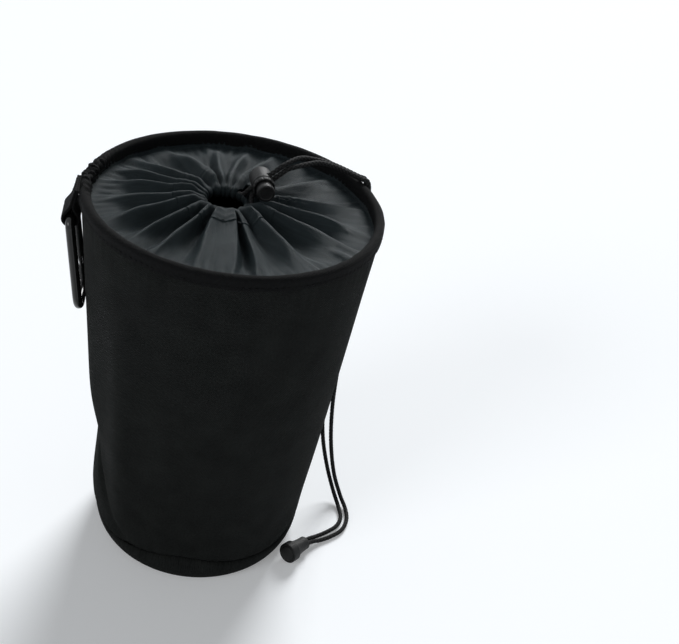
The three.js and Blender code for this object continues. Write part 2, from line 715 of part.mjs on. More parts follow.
const gateSlant = Math.atan2(HOOK_FLARE, HOOK_LENGTH);
const gateFrame = group(hook);
gateFrame.position.set(0, -halfTop - PIVOT_DROP * Math.sin(gateSlant), -PIVOT_DROP * Math.cos(gateSlant));
gateFrame.rotation.x = -gateSlant;
const gateEnd = GATE_REACH + GATE_TIP;

// A bent route: straight runs between corners, each corner rounded over its own distance.
function bentRoute(corners) {
  const path = new THREE.CurvePath();
  let from = corners[0].place;
  corners.slice(1).forEach(({ place, round }, i) => {
    const next = corners[i + 2];
    if (!next) {
      path.add(new THREE.LineCurve3(from, place));
      return;
    }
    const before = place.clone().lerp(from, round / place.distanceTo(from));
    const after = place.clone().lerp(next.place, round / place.distanceTo(next.place));
    path.add(new THREE.LineCurve3(from, before));
    path.add(new THREE.QuadraticBezierCurve3(before, place, after));
    from = after;
  });
  return path;
}

// A flat tongue of the frame in the gate's slot, with a round end and a pin hole at the origin.
function tongue(root, sign) {
  const outline = new THREE.Shape([
    at(-TONGUE_RADIUS, sign * root),
    ...arc(0, 0, TONGUE_RADIUS, sign * TONGUE_RADIUS, 180, FULL_TURN, TONGUE_STEPS),
    at(TONGUE_RADIUS, sign * root),
  ]);
  outline.holes.push(new THREE.Path(circle(0, 0, PIN_RADIUS + PIN_EASE, PIN_SIDES)));
  const made = new THREE.ExtrudeGeometry(outline, { depth: TONGUE, bevelEnabled: false });
  return made.translate(0, 0, -TONGUE / 2).rotateY(Math.PI / 2).rotateX(Math.PI / 2);
}

function addHookFrame() {
  gateFrame.updateMatrix();
  const onGate = (drop) => point(0, 0, -drop).applyMatrix4(gateFrame.matrix);
  const route = bentRoute([
    { place: onGate(-PIVOT_SHOULDER) },
    { place: point(0, -halfTop, 0), round: HOOK_TOP_CORNER },
    { place: point(0, halfTop, 0), round: HOOK_TOP_CORNER },
    { place: point(0, halfTop, -HOOK_LENGTH), round: HOOK_BOTTOM_CORNER },
    { place: point(0, -halfTop - HOOK_FLARE, -HOOK_LENGTH), round: HOOK_BOTTOM_CORNER },
    { place: onGate(gateEnd + GATE_SHOULDER_GAP) },
  ]);
  const bar = sweep(disc(barRadius, BAR_SIDES), route, HOOK_STEPS);
  const upper = tongue(PIVOT_SHOULDER + TONGUE_ROOT, 1).applyMatrix4(gateFrame.matrix);
  const noseRoot = GATE_TIP + GATE_SHOULDER_GAP + TONGUE_ROOT;
  const nose = tongue(noseRoot, -1).translate(0, 0, -GATE_REACH).applyMatrix4(gateFrame.matrix);
  piece("hook_frame", join(bar, upper, nose), enamel, hook);

  const latch = rod(PIN_RADIUS, HOOK_BAR - 2 * PIN_EASE, PIN_SIDES).rotateZ(Math.PI / 2);
  piece("latch_pin", latch.translate(0, 0, -GATE_REACH), steel, gateFrame);
}

// Gate: a bar slotted over both tongues, its pivot pin, and a sprung plunger behind the upper tongue
function addGate() {
  const bar = rod(barRadius, GATE_TAIL + gateEnd, BAR_SIDES).rotateX(Math.PI / 2);
  bar.translate(0, 0, (GATE_TAIL - gateEnd) / 2);
  const slot = TONGUE / 2 + TONGUE_EASE;
  const heel = TONGUE_RADIUS + PLUNGER_GAP;
  const pivotSlot = block(-slot, slot, -CUT, CUT, -heel - TONGUE_EASE, CUT);
  const noseFoot = TONGUE_RADIUS + 2 * TONGUE_EASE - GATE_REACH;
  const noseSlot = block(-slot, slot, -CUT, CUT, -CUT - GATE_REACH, noseFoot);
  const pinRoom = PIN_RADIUS + LATCH_EASE;
  const notch = block(-CUT, CUT, -CUT, pinRoom, -GATE_REACH - pinRoom, -GATE_REACH + pinRoom);
  const pinHole = rod(PIN_RADIUS + PIN_EASE, CUT, PIN_SIDES).rotateZ(Math.PI / 2);
  const springFoot = heel + PLUNGER_LENGTH + GAP;
  const boreDepth = springFoot + GATE_SPRING_LENGTH + GAP;
  const boreRadius = PLUNGER_RADIUS + PLUNGER_BORE_EASE;
  const bore = rod(boreRadius, boreDepth, PIN_SIDES).rotateX(Math.PI / 2);
  bore.translate(0, 0, -boreDepth / 2);
  piece("hook_gate", cut(bar, pivotSlot, noseSlot, notch, pinHole, bore), enamel, gateFrame);

  const pivot = rod(PIN_RADIUS, HOOK_BAR - 2 * PIN_EASE, PIN_SIDES).rotateZ(Math.PI / 2);
  piece("gate_pivot_pin", pivot, steel, gateFrame);

  const plunger = rod(PLUNGER_RADIUS, PLUNGER_LENGTH, PIN_SIDES).rotateX(Math.PI / 2);
  piece("gate_plunger", plunger.translate(0, 0, -heel - PLUNGER_LENGTH / 2), steel, gateFrame);

  const coilRadius = PLUNGER_RADIUS - GATE_SPRING_WIRE / 2;
  const coil = spring(coilRadius, GATE_SPRING_LENGTH, GATE_SPRING_TURNS, GATE_SPRING_WIRE);
  piece("gate_spring", coil.translate(0, 0, -springFoot - GATE_SPRING_LENGTH), steel, gateFrame);
}

addBody();
addRim();
addCollar();
addCasing();
addDrawstringLoop();
addCordLock();
addTails();
addCordEnd();
addLoop();
addHookFrame();
addGate();

export default bag;
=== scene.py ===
# %% [markdown]
# # A peg bag, dressed for its picture
# The frame holds the measured solids of a soft peg bag: a tapered cloth wall on a round base, a hooped
# rim, a gathered mouth with a drawstring and cord lock, and a snap hook on a webbing loop.
# Here each solid gets its surface: woven cloth with folds and stitches, braided cord, moulded plastic
# and black enamel. Lengths are in metres and +Z is up, as in the frame.

# %% Load the frame
import bisect
import functools
import json
import math

import bmesh
import bpy
from mathutils import Matrix, Vector, geometry, noise


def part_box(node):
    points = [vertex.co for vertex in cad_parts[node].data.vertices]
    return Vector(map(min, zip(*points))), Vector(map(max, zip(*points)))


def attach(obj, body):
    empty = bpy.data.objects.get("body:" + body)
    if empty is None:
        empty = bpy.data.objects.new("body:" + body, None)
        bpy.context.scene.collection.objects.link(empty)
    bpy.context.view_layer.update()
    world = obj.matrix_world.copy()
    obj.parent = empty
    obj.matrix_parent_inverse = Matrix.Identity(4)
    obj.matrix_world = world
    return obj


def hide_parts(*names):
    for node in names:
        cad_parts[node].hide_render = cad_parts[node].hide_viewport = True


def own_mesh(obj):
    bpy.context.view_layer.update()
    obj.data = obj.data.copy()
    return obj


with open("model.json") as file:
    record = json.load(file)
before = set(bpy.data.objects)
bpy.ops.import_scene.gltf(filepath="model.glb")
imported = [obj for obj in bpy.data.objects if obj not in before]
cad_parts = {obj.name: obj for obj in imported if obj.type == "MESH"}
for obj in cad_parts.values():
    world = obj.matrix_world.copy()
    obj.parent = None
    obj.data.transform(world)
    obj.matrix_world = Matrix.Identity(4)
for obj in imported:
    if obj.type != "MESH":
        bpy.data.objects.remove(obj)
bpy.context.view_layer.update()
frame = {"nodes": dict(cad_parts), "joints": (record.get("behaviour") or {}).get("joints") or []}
nodes = frame["nodes"]

# %% [markdown]
# ## Camera
# A camera can be placed by eye, or worked out from the rim and the base, which are circles in the world
# and ellipses in the picture. The second way gives the place, the turn, the downward tilt and the roll.

# %% Camera
CAMERA_PLACE = (0, -0.4855, 0.4877)
CAMERA_TURN = math.radians(-7.90)
CAMERA_TILT = math.radians(33.86)
CAMERA_ROLL = math.radians(11.78)
LENS_MM = 54.7
SENSOR_MM = 36

scene = bpy.context.scene
camera = bpy.data.objects.new("camera", bpy.data.cameras.new("camera"))
camera.data.lens = LENS_MM
camera.data.sensor_width = SENSOR_MM
camera.location = CAMERA_PLACE
aim = Matrix.Rotation(CAMERA_TURN, 3, "Z") @ Matrix.Rotation(math.pi / 2 - CAMERA_TILT, 3, "X")
camera.rotation_euler = (aim @ Matrix.Rotation(CAMERA_ROLL, 3, "Z")).to_euler()
scene.collection.objects.link(camera)
scene.camera = camera
scene.view_settings.view_transform = "Standard"
print("camera at", CAMERA_PLACE, "with a lens of", LENS_MM)

# %% [markdown]
# ## Node helpers
# A finish is a small tree of nodes that ends in one Principled shader. A few helpers keep such trees short:
# each adds one node with its settings, and takes either a number or a socket for every input.

# %% Node helpers
finishes = {}


def start_finish(name):
    """A new material, kept under its name, with its node tree and shader."""
    material = bpy.data.materials.new(name + "_finish")
    material.use_nodes = True
    finishes[name] = material
    tree = material.node_tree
    return tree, tree.nodes["Principled BSDF"]


def add_node(tree, kind, inputs=None, **settings):
    made = tree.nodes.new("ShaderNode" + kind)
    for key, value in settings.items():
        setattr(made, key, value)
    for key, value in (inputs or {}).items():
        plug(tree, made.inputs[key], value)
    return made


def plug(tree, socket, value):
    """Link a socket to another, or set it to a number or colour."""
    if isinstance(value, bpy.types.NodeSocket):
        tree.links.new(value, socket)
    else:
        socket.default_value = value


def calc(tree, operation, *terms):
    made = add_node(tree, "Math", operation=operation)
    for socket, term in zip(made.inputs, terms):
        plug(tree, socket, term)
    return made.outputs[0]


print("node helpers ready")


# %% Texture helpers
def cloud(tree, coordinate, scale, detail=3.0):
    """Soft noise from 0 to 1."""
    inputs = {"Vector": coordinate, "Scale": scale, "Detail": detail}
    return add_node(tree, "TexNoise", inputs).outputs["Fac"]


def ramp(tree, factor, low, high, start=0.0, end=1.0):
    """A colour that goes from low to high as a factor goes from start to end."""
    made = add_node(tree, "ValToRGB", {"Fac": factor})
    for element, place, colour in zip(made.color_ramp.elements, (start, end), (low, high)):
        element.position = place
        element.color = (*colour, 1)
    return made.outputs["Color"]


def spread(tree, factor, low, high):
    """A number that goes from low to high as a factor goes from 0 to 1."""
    inputs = {"Value": factor, "To Min": low, "To Max": high}
    return add_node(tree, "MapRange", inputs).outputs["Result"]


def bump(tree, height, distance):
    return add_node(tree, "Bump", {"Height": height, "Distance": distance, "Strength": 1.0}).outputs["Normal"]


def dress(tree, shader, **inputs):
    """Set the shader's sockets by name, with spaces written as underscores."""
    for key, value in inputs.items():
        plug(tree, shader.inputs[key.replace("_", " ")], value)


print("texture helpers ready")

# %% [markdown]
# ## Woven finishes
# All cloth here is plain weave: warp and weft threads cross one over one under. Two sine waves multiplied
# give that chequer of little humps. The waves read each piece's own UV map, which is laid out in metres,
# so the thread keeps its real size and follows the cloth through its folds.

# %% Woven finishes
OXFORD_THREAD, OXFORD_BUMP = 0.00055, 0.00022
SATIN_THREAD, SATIN_BUMP = 0.00022, 0.00005
TAPE_RIB, WEBBING_RIB, TAPE_BUMP = 0.0007, 0.0011, 0.00016


def weave(tree, across, along):
    """The cloth's coordinate, and the height of a plain weave with these thread pitches."""
    place = add_node(tree, "UVMap", uv_map="UVMap").outputs["UV"]
    parts = add_node(tree, "SeparateXYZ", {"Vector": place})
    waves = [
        calc(tree, "SINE", calc(tree, "MULTIPLY", parts.outputs[i], math.pi / pitch))
        for i, pitch in enumerate((across, along))
    ]
    return place, calc(tree, "MULTIPLY", *waves)


def oxford_cloth():
    tree, shader = start_finish("oxford_cloth")
    place, threads = weave(tree, OXFORD_THREAD, OXFORD_THREAD)
    slub = cloud(tree, place, 900.0)
    patch = cloud(tree, place, 60.0)
    mixed = calc(tree, "MULTIPLY_ADD", slub, 0.6, calc(tree, "MULTIPLY", patch, 0.4))
    height = calc(tree, "MULTIPLY_ADD", slub, 1.2, threads)
    dress(
        tree, shader,
        Base_Color=ramp(tree, mixed, (0.0063, 0.0070, 0.0067), (0.0222, 0.0240, 0.0228), 0.3, 0.75),
        Roughness=spread(tree, slub, 0.80, 0.95),
        Specular_IOR_Level=0.05,
        Normal=bump(tree, height, OXFORD_BUMP),
    )


def satin_lining():
    tree, shader = start_finish("satin_lining")
    place, threads = weave(tree, SATIN_THREAD, SATIN_THREAD)
    streak = add_node(tree, "Mapping", {"Vector": place, "Scale": (1.0, 0.08, 1.0)}).outputs[0]
    warp = cloud(tree, streak, 700.0)
    patch = cloud(tree, place, 90.0)
    mixed = calc(tree, "MULTIPLY_ADD", warp, 0.5, calc(tree, "MULTIPLY", patch, 0.5))
    crumple = calc(tree, "MULTIPLY_ADD", patch, 6.0, calc(tree, "ADD", threads, warp))
    dress(
        tree, shader,
        Base_Color=ramp(tree, mixed, (0.0086, 0.0119, 0.0132), (0.0204, 0.0272, 0.0302), 0.3, 0.72),
        Roughness=spread(tree, warp, 0.36, 0.50),
        Specular_IOR_Level=0.11,
        Specular_Tint=(0.80, 0.95, 1.0, 1),
        Normal=bump(tree, crumple, SATIN_BUMP),
    )


def ribbed_tape(name, dark, light, rib):
    """A narrow woven tape with ribs across it."""
    tree, shader = start_finish(name)
    place, threads = weave(tree, rib, rib * 0.6)
    slub = cloud(tree, place, 700.0)
    dress(
        tree, shader,
        Base_Color=ramp(tree, slub, dark, light, 0.3, 0.75),
        Roughness=spread(tree, slub, 0.70, 0.90),
        Specular_IOR_Level=0.07,
        Normal=bump(tree, calc(tree, "MULTIPLY_ADD", slub, 0.8, threads), TAPE_BUMP),
    )


oxford_cloth()
satin_lining()
ribbed_tape("binding_tape", (0.0030, 0.0032, 0.0034), (0.0090, 0.0093, 0.0097), TAPE_RIB)
ribbed_tape("webbing", (0.0022, 0.0023, 0.0024), (0.0070, 0.0071, 0.0073), WEBBING_RIB)
print("woven finishes:", sorted(finishes))

# %% [markdown]
# ## Cord, plastic and metal finishes
# The braid's strands are real relief on the cord's mesh, and its finish also reads how high each point
# stands:
# it paints shade into the gaps and a highlight on the crowns of the strands. Plastic, enamel and steel read
# Object
# coordinates: a fine grain, a few rubbed patches and small changes of gloss keep them from looking like paint
# chips.

# %% Cord, plastic and metal finishes
def braided_cord():
    tree, shader = start_finish("braided_cord")
    strand = add_node(tree, "Attribute", attribute_name="strand").outputs["Fac"]
    place = add_node(tree, "TexCoord").outputs["Object"]
    fuzz = cloud(tree, place, 2500.0)
    # Painted shade in the braid's gaps and a painted highlight on each strand's crown, broken by a random
    # fuzz.
    mixed = calc(tree, "MULTIPLY", strand, spread(tree, fuzz, 0.6, 1.2))
    dress(
        tree, shader,
        Base_Color=ramp(tree, mixed, (0.0012, 0.0012, 0.0013), (0.0320, 0.0326, 0.0332), 0.45, 1.0),
        Roughness=spread(tree, fuzz, 0.6, 0.85),
        Specular_IOR_Level=0.15,
        Normal=bump(tree, fuzz, 0.00008),
    )


def grained(name, dark, light, gloss, grain, **extra):
    """A moulded or coated surface with a fine grain and slightly rubbed patches."""
    tree, shader = start_finish(name)
    place = add_node(tree, "TexCoord").outputs["Object"]
    patch = cloud(tree, place, 220.0, 4.0)
    pits = cloud(tree, place, 1900.0, 5.0)
    dress(
        tree, shader,
        Base_Color=ramp(tree, patch, dark, light, 0.3, 0.75),
        Roughness=spread(tree, patch, *gloss),
        Normal=bump(tree, pits, grain),
        **extra,
    )


grained("lock_plastic", (0.0030, 0.0030, 0.0032), (0.0105, 0.0105, 0.0108), (0.40, 0.66), 0.00022,
        Specular_IOR_Level=0.22)
grained("black_enamel", (0.0030, 0.0033, 0.0031), (0.0095, 0.0100, 0.0094), (0.14, 0.30), 0.00002,
        Specular_IOR_Level=0.25, Coat_Weight=0.25, Coat_Roughness=0.08)
grained("spring_steel", (0.42, 0.43, 0.44), (0.60, 0.61, 0.62), (0.22, 0.40), 0.00002, Metallic=1.0)
braided_cord()
print("all finishes:", sorted(finishes))

# %% [markdown]
# ## Piece helpers
# Every piece ends the same way: its mesh becomes an object that wears a finish, rides on a body of the
# frame and stands for the solids it replaces. Cloth is modelled as one sheet and thickened last.

# %% Piece helpers
SMOOTH_ANGLE = math.radians(38)


def add_piece(name, bm, finish, body, *stands_for):
    mesh = bpy.data.meshes.new(name)
    bm.to_mesh(mesh)
    bm.free()
    mesh.shade_smooth()
    mesh.set_sharp_from_angle(angle=SMOOTH_ANGLE)
    mesh.materials.append(finishes[finish])
    piece = bpy.data.objects.new(name, mesh)
    scene.collection.objects.link(piece)
    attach(piece, body)
    if stands_for:
        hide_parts(*stands_for)
    print(name, "has", len(mesh.polygons), "faces, on", body)
    return piece


def thicken(piece, thickness, offset=0.0):
    """Give a sheet its thickness: evenly, or with an offset of -1 all on the inside."""
    made = piece.modifiers.new("thickness", "SOLIDIFY")
    made.thickness = thickness
    made.offset = offset


print("piece helpers ready")

# %% [markdown]
# ## Turned shapes
# Round pieces are a profile spun about an axis. The spin keeps a note of how far along the profile each
# point lies, which later gives the cloth its UV map.

# %% Turned shapes
def mix(low, high, share):
    return low + (high - low) * share


def spaced(low, high, count):
    """Numbers from low to high in a count of equal steps."""
    return [low + (high - low) * i / count for i in range(count + 1)]


def arc(centre, radius, start, end, count):
    """Points of a circular arc, angles in degrees."""
    turns = [math.radians(angle) for angle in spaced(start, end, count)]
    return [(centre[0] + radius * math.cos(t), centre[1] + radius * math.sin(t)) for t in turns]


def turned(profile, count, closed=False):
    """Points of radius and height spun about Z; "along" keeps each point's distance down the profile."""
    bm = bmesh.new()
    along = bm.verts.layers.float.new("along")
    line = [bm.verts.new((radius, 0, height)) for radius, height in profile]
    for before, after in zip(line, line[1:]):
        after[along] = before[along] + (after.co - before.co).length
    pairs = list(zip(line, line[1:])) + ([(line[-1], line[0])] if closed else [])
    edges = [bm.edges.new(pair) for pair in pairs]
    bmesh.ops.spin(
        bm, geom=line + edges, cent=(0, 0, 0), axis=(0, 0, 1), dvec=(0, 0, 0),
        angle=2 * math.pi, steps=count, use_merge=True,
    )
    bmesh.ops.remove_doubles(bm, verts=bm.verts[:], dist=1e-7)
    bmesh.ops.recalc_face_normals(bm, faces=bm.faces[:])
    return bm


def unroll(bm, girth):
    """A UV map in metres: bearing times a girth radius across, distance down the profile along."""
    along = bm.verts.layers.float["along"]
    layer = bm.loops.layers.uv.new("UVMap")
    for face in bm.faces:
        turns = [math.atan2(loop.vert.co.y, loop.vert.co.x) for loop in face.loops]
        wraps = max(turns) - min(turns) > math.pi
        for loop, turn in zip(face.loops, turns):
            whole = turn + 2 * math.pi if wraps and turn < 0 else turn
            loop[layer].uv = (whole * girth, loop.vert[along])


print("an arc of 90 degrees in 2 steps:", arc((0, 0), 1, 0, 90, 2))

# %% [markdown]
# ## Steps, humps and bearings
# Folds in cloth are sums of soft steps and humps, placed by height and by bearing, the angle about the Z
# axis. Noise read on a ring comes round to where it started, so it leaves no seam.

# %% Steps, humps and bearings
def ease(x, low, high):
    """A smooth step from 0 at low to 1 at high."""
    t = min(max((x - low) / (high - low), 0.0), 1.0)
    return t * t * (3 - 2 * t)


def swell(x, middle, width):
    """A soft hump of height 1 at the middle."""
    return math.exp(-(((x - middle) / width) ** 2))


def apart(bearing, other):
    """The angle from one bearing to another, in degrees from -180 to 180."""
    return (bearing - other + 180) % 360 - 180


def near(bearing, other, width):
    """A soft hump round one bearing, its width in degrees."""
    return swell(apart(bearing, other), 0, width)


def polar(place):
    """Distance from the Z axis, and bearing in degrees."""
    return math.hypot(place.x, place.y), math.degrees(math.atan2(place.y, place.x))


def ring_noise(bearing, fineness, height):
    turn = math.radians(bearing)
    return noise.noise(Vector((fineness * math.cos(turn), fineness * math.sin(turn), height)))


print("half way up a step:", ease(0.5, 0, 1))

# %% [markdown]
# ## The cords
# The drawstring is one braided cord. Both ends come out of the casing, pass through the lock, cross the
# gathers, hang over the rim and lie on the floor, where a bell holds their knot. A smooth curve through a
# list of points gives each route, and the cord keeps the same step along it everywhere.

# %% Cord sizes
CORD = 0.0028
LOCK_CENTRE = Vector((0.012973, 0.010, 0.2343))
CORD_WAY = Vector((0.726905, 0.154508, 0.669131))
BUTTON_WAY = Vector((0.207912, -0.978148, 0))
STACK_WAY = BUTTON_WAY.cross(CORD_WAY)
LOCK_CORD_SPACING = 0.0032
BELL_NECK = Vector((0.0708, -0.0256, 0.005))
BELL_WAY = (Vector((0.059, -0.0392, 0.0074)) - BELL_NECK).normalized()
BELL_SIDE = Vector((-BELL_WAY.y, BELL_WAY.x, 0)).normalized()
BELL_CORD_SPACING = 0.003
BELL_THROAT = 0.0056
STRAIGHT_POINTS = (0.0060, 0.0118, 0.0149)
MEETING_GAP = 0.00015

FRONT_TAIL = [
    (0.0332, 0.0168, 0.2449), (0.0418, 0.0237, 0.2444), (0.0508, 0.0291, 0.2410),
    (0.0597, 0.0331, 0.2366), (0.0681, 0.0361, 0.2324), (0.0719, 0.0381, 0.2304),
    (0.0736, 0.0389, 0.2259), (0.0741, 0.0390, 0.2140), (0.0750, 0.0391, 0.1800),
    (0.0762, 0.0391, 0.1400), (0.0776, 0.0386, 0.1000), (0.0794, 0.0372, 0.0660),
    (0.0832, 0.0334, 0.0380), (0.0886, 0.0270, 0.0175), (0.0946, 0.0198, 0.0056),
    (0.0986, 0.0112, 0.0017), (0.0991, 0.0016, 0.0016), (0.0953, -0.0082, 0.0016),
    (0.0878, -0.0151, 0.0016), (0.0809, -0.0195, 0.0020), (0.0756, -0.0230, 0.0037),
]
BACK_TAIL = [
    (0.0312, 0.0204, 0.2470), (0.0402, 0.0263, 0.2446), (0.0492, 0.0319, 0.2410),
    (0.0583, 0.0359, 0.2366), (0.0667, 0.0389, 0.2324), (0.0705, 0.0409, 0.2304),
    (0.0720, 0.0417, 0.2259), (0.0723, 0.0420, 0.2140), (0.0723, 0.0425, 0.1800),
    (0.0724, 0.0429, 0.1400), (0.0726, 0.0430, 0.1000), (0.0738, 0.0420, 0.0660),
    (0.0778, 0.0386, 0.0380), (0.0842, 0.0318, 0.0175), (0.0902, 0.0222, 0.0056),
    (0.0939, 0.0126, 0.0017), (0.0951, 0.0026, 0.0016), (0.0919, -0.0052, 0.0016),
    (0.0856, -0.0112, 0.0016), (0.0788, -0.0162, 0.0020), (0.0739, -0.0204, 0.0037),
]
print("each tail has", len(FRONT_TAIL), "chosen points")

# %% Cord routes
CURVE_STEPS = 32


def lock_point(along, side):
    return LOCK_CENTRE + CORD_WAY * along + STACK_WAY * (side * LOCK_CORD_SPACING / 2)


def bell_point(along, side):
    return BELL_NECK + BELL_WAY * along + BELL_SIDE * (side * BELL_CORD_SPACING / 2)


def smooth_route(points):
    """A centripetal curve through given points, as many close points."""
    ends = [2 * points[0] - points[1], *points, 2 * points[-1] - points[-2]]
    line = [points[0]]
    for a, b, c, d in zip(ends, ends[1:], ends[2:], ends[3:]):
        before, here, after = ((q - p).length ** 0.5 for p, q in ((a, b), (b, c), (c, d)))
        leaving = (b - a) / before - (c - a) / (before + here) + (c - b) / here
        arriving = (c - b) / here - (d - b) / (here + after) + (d - c) / after
        handles = b + leaving * (here / 3), c - arriving * (here / 3)
        line += geometry.interpolate_bezier(b, *handles, c, CURVE_STEPS)[1:]
    return line


def evenly(line, step):
    """The same route with points a fixed step apart."""
    even = [line[0]]
    spare = 0.0
    for a, b in zip(line, line[1:]):
        length = (b - a).length
        reach = step - spare
        while reach <= length:
            even.append(a.lerp(b, reach / length))
            reach += step
        spare = length - (reach - step)
    return even + [line[-1]]


def length_of(line):
    return sum((b - a).length for a, b in zip(line, line[1:]))


print("the cords meet in the lock at", [round(x, 4) for x in lock_point(0, 0)])

# %% [markdown]
# ### The braid
# A cord could be a plain curve with a round bevel. Here the curve only gives the tube: the braid, two sets
# of strands that wind opposite ways and cross over and under, is then raised on the tube's own points.

# %% Braided tube
CORD_STEP = 0.00032
CORD_SIDES = 28
BRAID_STRANDS = 4
BRAID_PITCH = 0.0026
BRAID_RELIEF = 0.00038
BRAID_CROWN = 0.9


def tube(line, radius, sides):
    """An open round tube along a line, its points in rings from start to end."""
    curve = bpy.data.curves.new("tube", "CURVE")
    curve.dimensions = "3D"
    curve.bevel_depth = radius
    curve.bevel_resolution = sides // 2 - 2
    spline = curve.splines.new("POLY")
    spline.points.add(len(line) - 1)
    for point, place in zip(spline.points, line):
        point.co = (*place, 1)
    bm = bmesh.new()
    bm.from_mesh(bpy.data.meshes.new_from_object(bpy.data.objects.new("tube", curve)))
    return bm


def close_ends(bm):
    bmesh.ops.holes_fill(bm, edges=[e for e in bm.edges if e.is_boundary], sides=0)
    bmesh.ops.recalc_face_normals(bm, faces=bm.faces[:])
    return bm


def braid(turn, along):
    """0 in the gaps of the braid and 1 on the crown of a strand."""
    leans = [BRAID_STRANDS * turn + sign * along / BRAID_PITCH for sign in (1, -1)]
    on_top = leans[sum(math.floor(lean) for lean in leans) % 2]
    return math.sin(math.pi * (on_top % 1)) ** BRAID_CROWN


def braided_tube(line):
    """A tube of cord along a line, with the braid raised on it."""
    bm = tube(line, CORD / 2, CORD_SIDES)
    # The strand's height raises the braid, and the cord's finish reads it too, for painted shade and
    # highlight.
    strand = bm.verts.layers.float.new("strand")
    bm.verts.ensure_lookup_table()
    for vert in bm.verts:
        ring, side = divmod(vert.index, CORD_SIDES)
        vert[strand] = braid(side / CORD_SIDES, ring * CORD_STEP)
        inward = line[ring] - vert.co
        vert.co += inward.normalized() * BRAID_RELIEF * (1 - vert[strand])
    return close_ends(bm)


def add_cord(name, route, node):
    line = evenly(route, CORD_STEP)
    piece = add_piece(name, braided_tube(line), "braided_cord", "bag", node)
    print(name, "is", round(length_of(line), 4), "m long")
    return piece, line


print("one turn of a strand takes", round(BRAID_STRANDS * BRAID_PITCH, 4), "m of cord")

# %% The two tails
tails = []
for name, node, route, lock_side, bell_side in (
    ("front_tail_cord", "drawstring_tail_front", FRONT_TAIL, -1, 1),
    ("back_tail_cord", "drawstring_tail_back", BACK_TAIL, 1, -1),
):
    points = [lock_point(x, lock_side) for x in (MEETING_GAP, *STRAIGHT_POINTS)]
    points += [Vector(p) for p in route]
    points += [bell_point(x, bell_side) for x in (0, BELL_THROAT / 2, BELL_THROAT)]
    tails.append(add_cord(name, smooth_route(points), node))

# %% [markdown]
# ### The loop in the casing
# Between its two ends the cord runs once round the mouth, inside the stitched casing. Two short bends
# lift it from that ring up into the lock.

# %% The loop in the casing
MOUTH = Vector((-0.005, 0.001))
MOUTH_HEIGHT = 0.2245
CORD_RING = 0.0135
RING_STEPS, LEAD_POINTS = 120, 40
LEAD_SHARE = 0.28
LOCK_BEARING = 26.6
CORD_EXIT_HALF_ANGLE = 32
LOCK_ENTRY = -0.00635


def ring_point(bearing):
    turn = math.radians(bearing)
    return Vector((MOUTH.x + CORD_RING * math.cos(turn), MOUTH.y + CORD_RING * math.sin(turn), MOUTH_HEIGHT))


def lock_lead(bearing, heading, side):
    """The bend from the casing's ring into the lock."""
    start, entry = ring_point(bearing), lock_point(LOCK_ENTRY, side)
    turn = math.radians(bearing)
    way = Vector((-math.sin(turn), math.cos(turn), 0)) * heading
    handle = (entry - start).length * LEAD_SHARE
    handles = start + way * handle, entry - CORD_WAY * handle
    return geometry.interpolate_bezier(start, *handles, entry, LEAD_POINTS)


first, last = LOCK_BEARING + CORD_EXIT_HALF_ANGLE, LOCK_BEARING + 360 - CORD_EXIT_HALF_ANGLE
ring = [ring_point(bearing) for bearing in spaced(first, last, RING_STEPS)[1:-1]]
rise, fall = lock_lead(first, -1, 1), lock_lead(last, 1, -1)
loop_route = [lock_point(-MEETING_GAP, 1), *reversed(rise), *ring, *fall, lock_point(-MEETING_GAP, -1)]
loop_cord, loop_line = add_cord("casing_loop_cord", loop_route, "drawstring_loop")

# %% [markdown]
# ## The wall
# The wall is one piece of coarse cloth sewn into a tapered tube. It hangs from the hoop and stands on its
# base, so it is nearly straight, but it isn't a cone: the cloth has a pushed-in dent low on the left, a
# crease that runs from it down to the front, a soft upright ridge, and small puckers at both seams. The
# plain way is to spin the straight profile and then move its points by those few folds. Each row of the
# tables below is one fold: its bearing and width in degrees, for a hump also its height on the wall and its
# reach up and down, and last how far it stands out.

# %% Wall sizes
wall_low, wall_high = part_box("body_panel")
base_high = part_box("base_panel")[1]
WALL_FOOT, WALL_TOP = wall_low.z, wall_high.z
BASE_RADIUS, WALL_TOP_RADIUS = base_high.x, wall_high.x
WALL_BELLY = 0.001
CLOTH = 0.0012


def wall_radius(height):
    share = (height - WALL_FOOT) / (WALL_TOP - WALL_FOOT)
    return mix(BASE_RADIUS, WALL_TOP_RADIUS, share) + WALL_BELLY * math.sin(math.pi * share)


print("wall from", round(WALL_FOOT, 4), "to", round(WALL_TOP, 4), "m")

# %% Wall folds
SIDE_SEAM, SIDE_SEAM_RIDGE = 90, 0.0006
DENT_BEARING, DENT_HEIGHT = -170, 0.069
WALL_HUMPS = ((DENT_BEARING, 17, DENT_HEIGHT, 0.020, -0.0046), (-158, 22, 0.030, 0.014, 0.0016))
UPRIGHT_FOLDS = ((-130, 8, 0.0026), (-148, 10, -0.0019), (-109, 12, -0.0019))
SEAM_WAVES = ((-93, 17, 0.0042), (-138, 15, -0.0040), (-45, 20, -0.0022))
CREASE_END_BEARING, CREASE_END_HEIGHT = -126, 0.018
CREASE_DEPTH, CREASE_WIDTH = 0.0024, 0.0045
CREASE_FIRST, CREASE_LAST = -0.15, 1.1
UPRIGHT_START, UPRIGHT_END = (0.02, 0.06), (0.15, 0.21)
FREE_FOOT, FREE_TOP = 0.045, 0.17
SLACK, SLACK_FINENESS, SLACK_RISE = 0.0009, 1.7, 11
WALL_PUCKER = 0.0006
UPPER_SEAM = 0.216
TUCK_FINENESS, TUCK_LEVEL = 30, 2
SEAM_DRAW = 0.0011


def crease(bearing, height):
    """A pinched line from the dent down to the front of the base."""
    share = apart(bearing, DENT_BEARING) / apart(CREASE_END_BEARING, DENT_BEARING)
    if not CREASE_FIRST < share < CREASE_LAST:
        return 0.0
    middle = mix(DENT_HEIGHT, CREASE_END_HEIGHT, share)
    fades = ease(share, CREASE_FIRST, 0.05) * (1 - 0.7 * ease(share, 0.3, CREASE_LAST))
    return -CREASE_DEPTH * fades * swell(height, middle, CREASE_WIDTH)


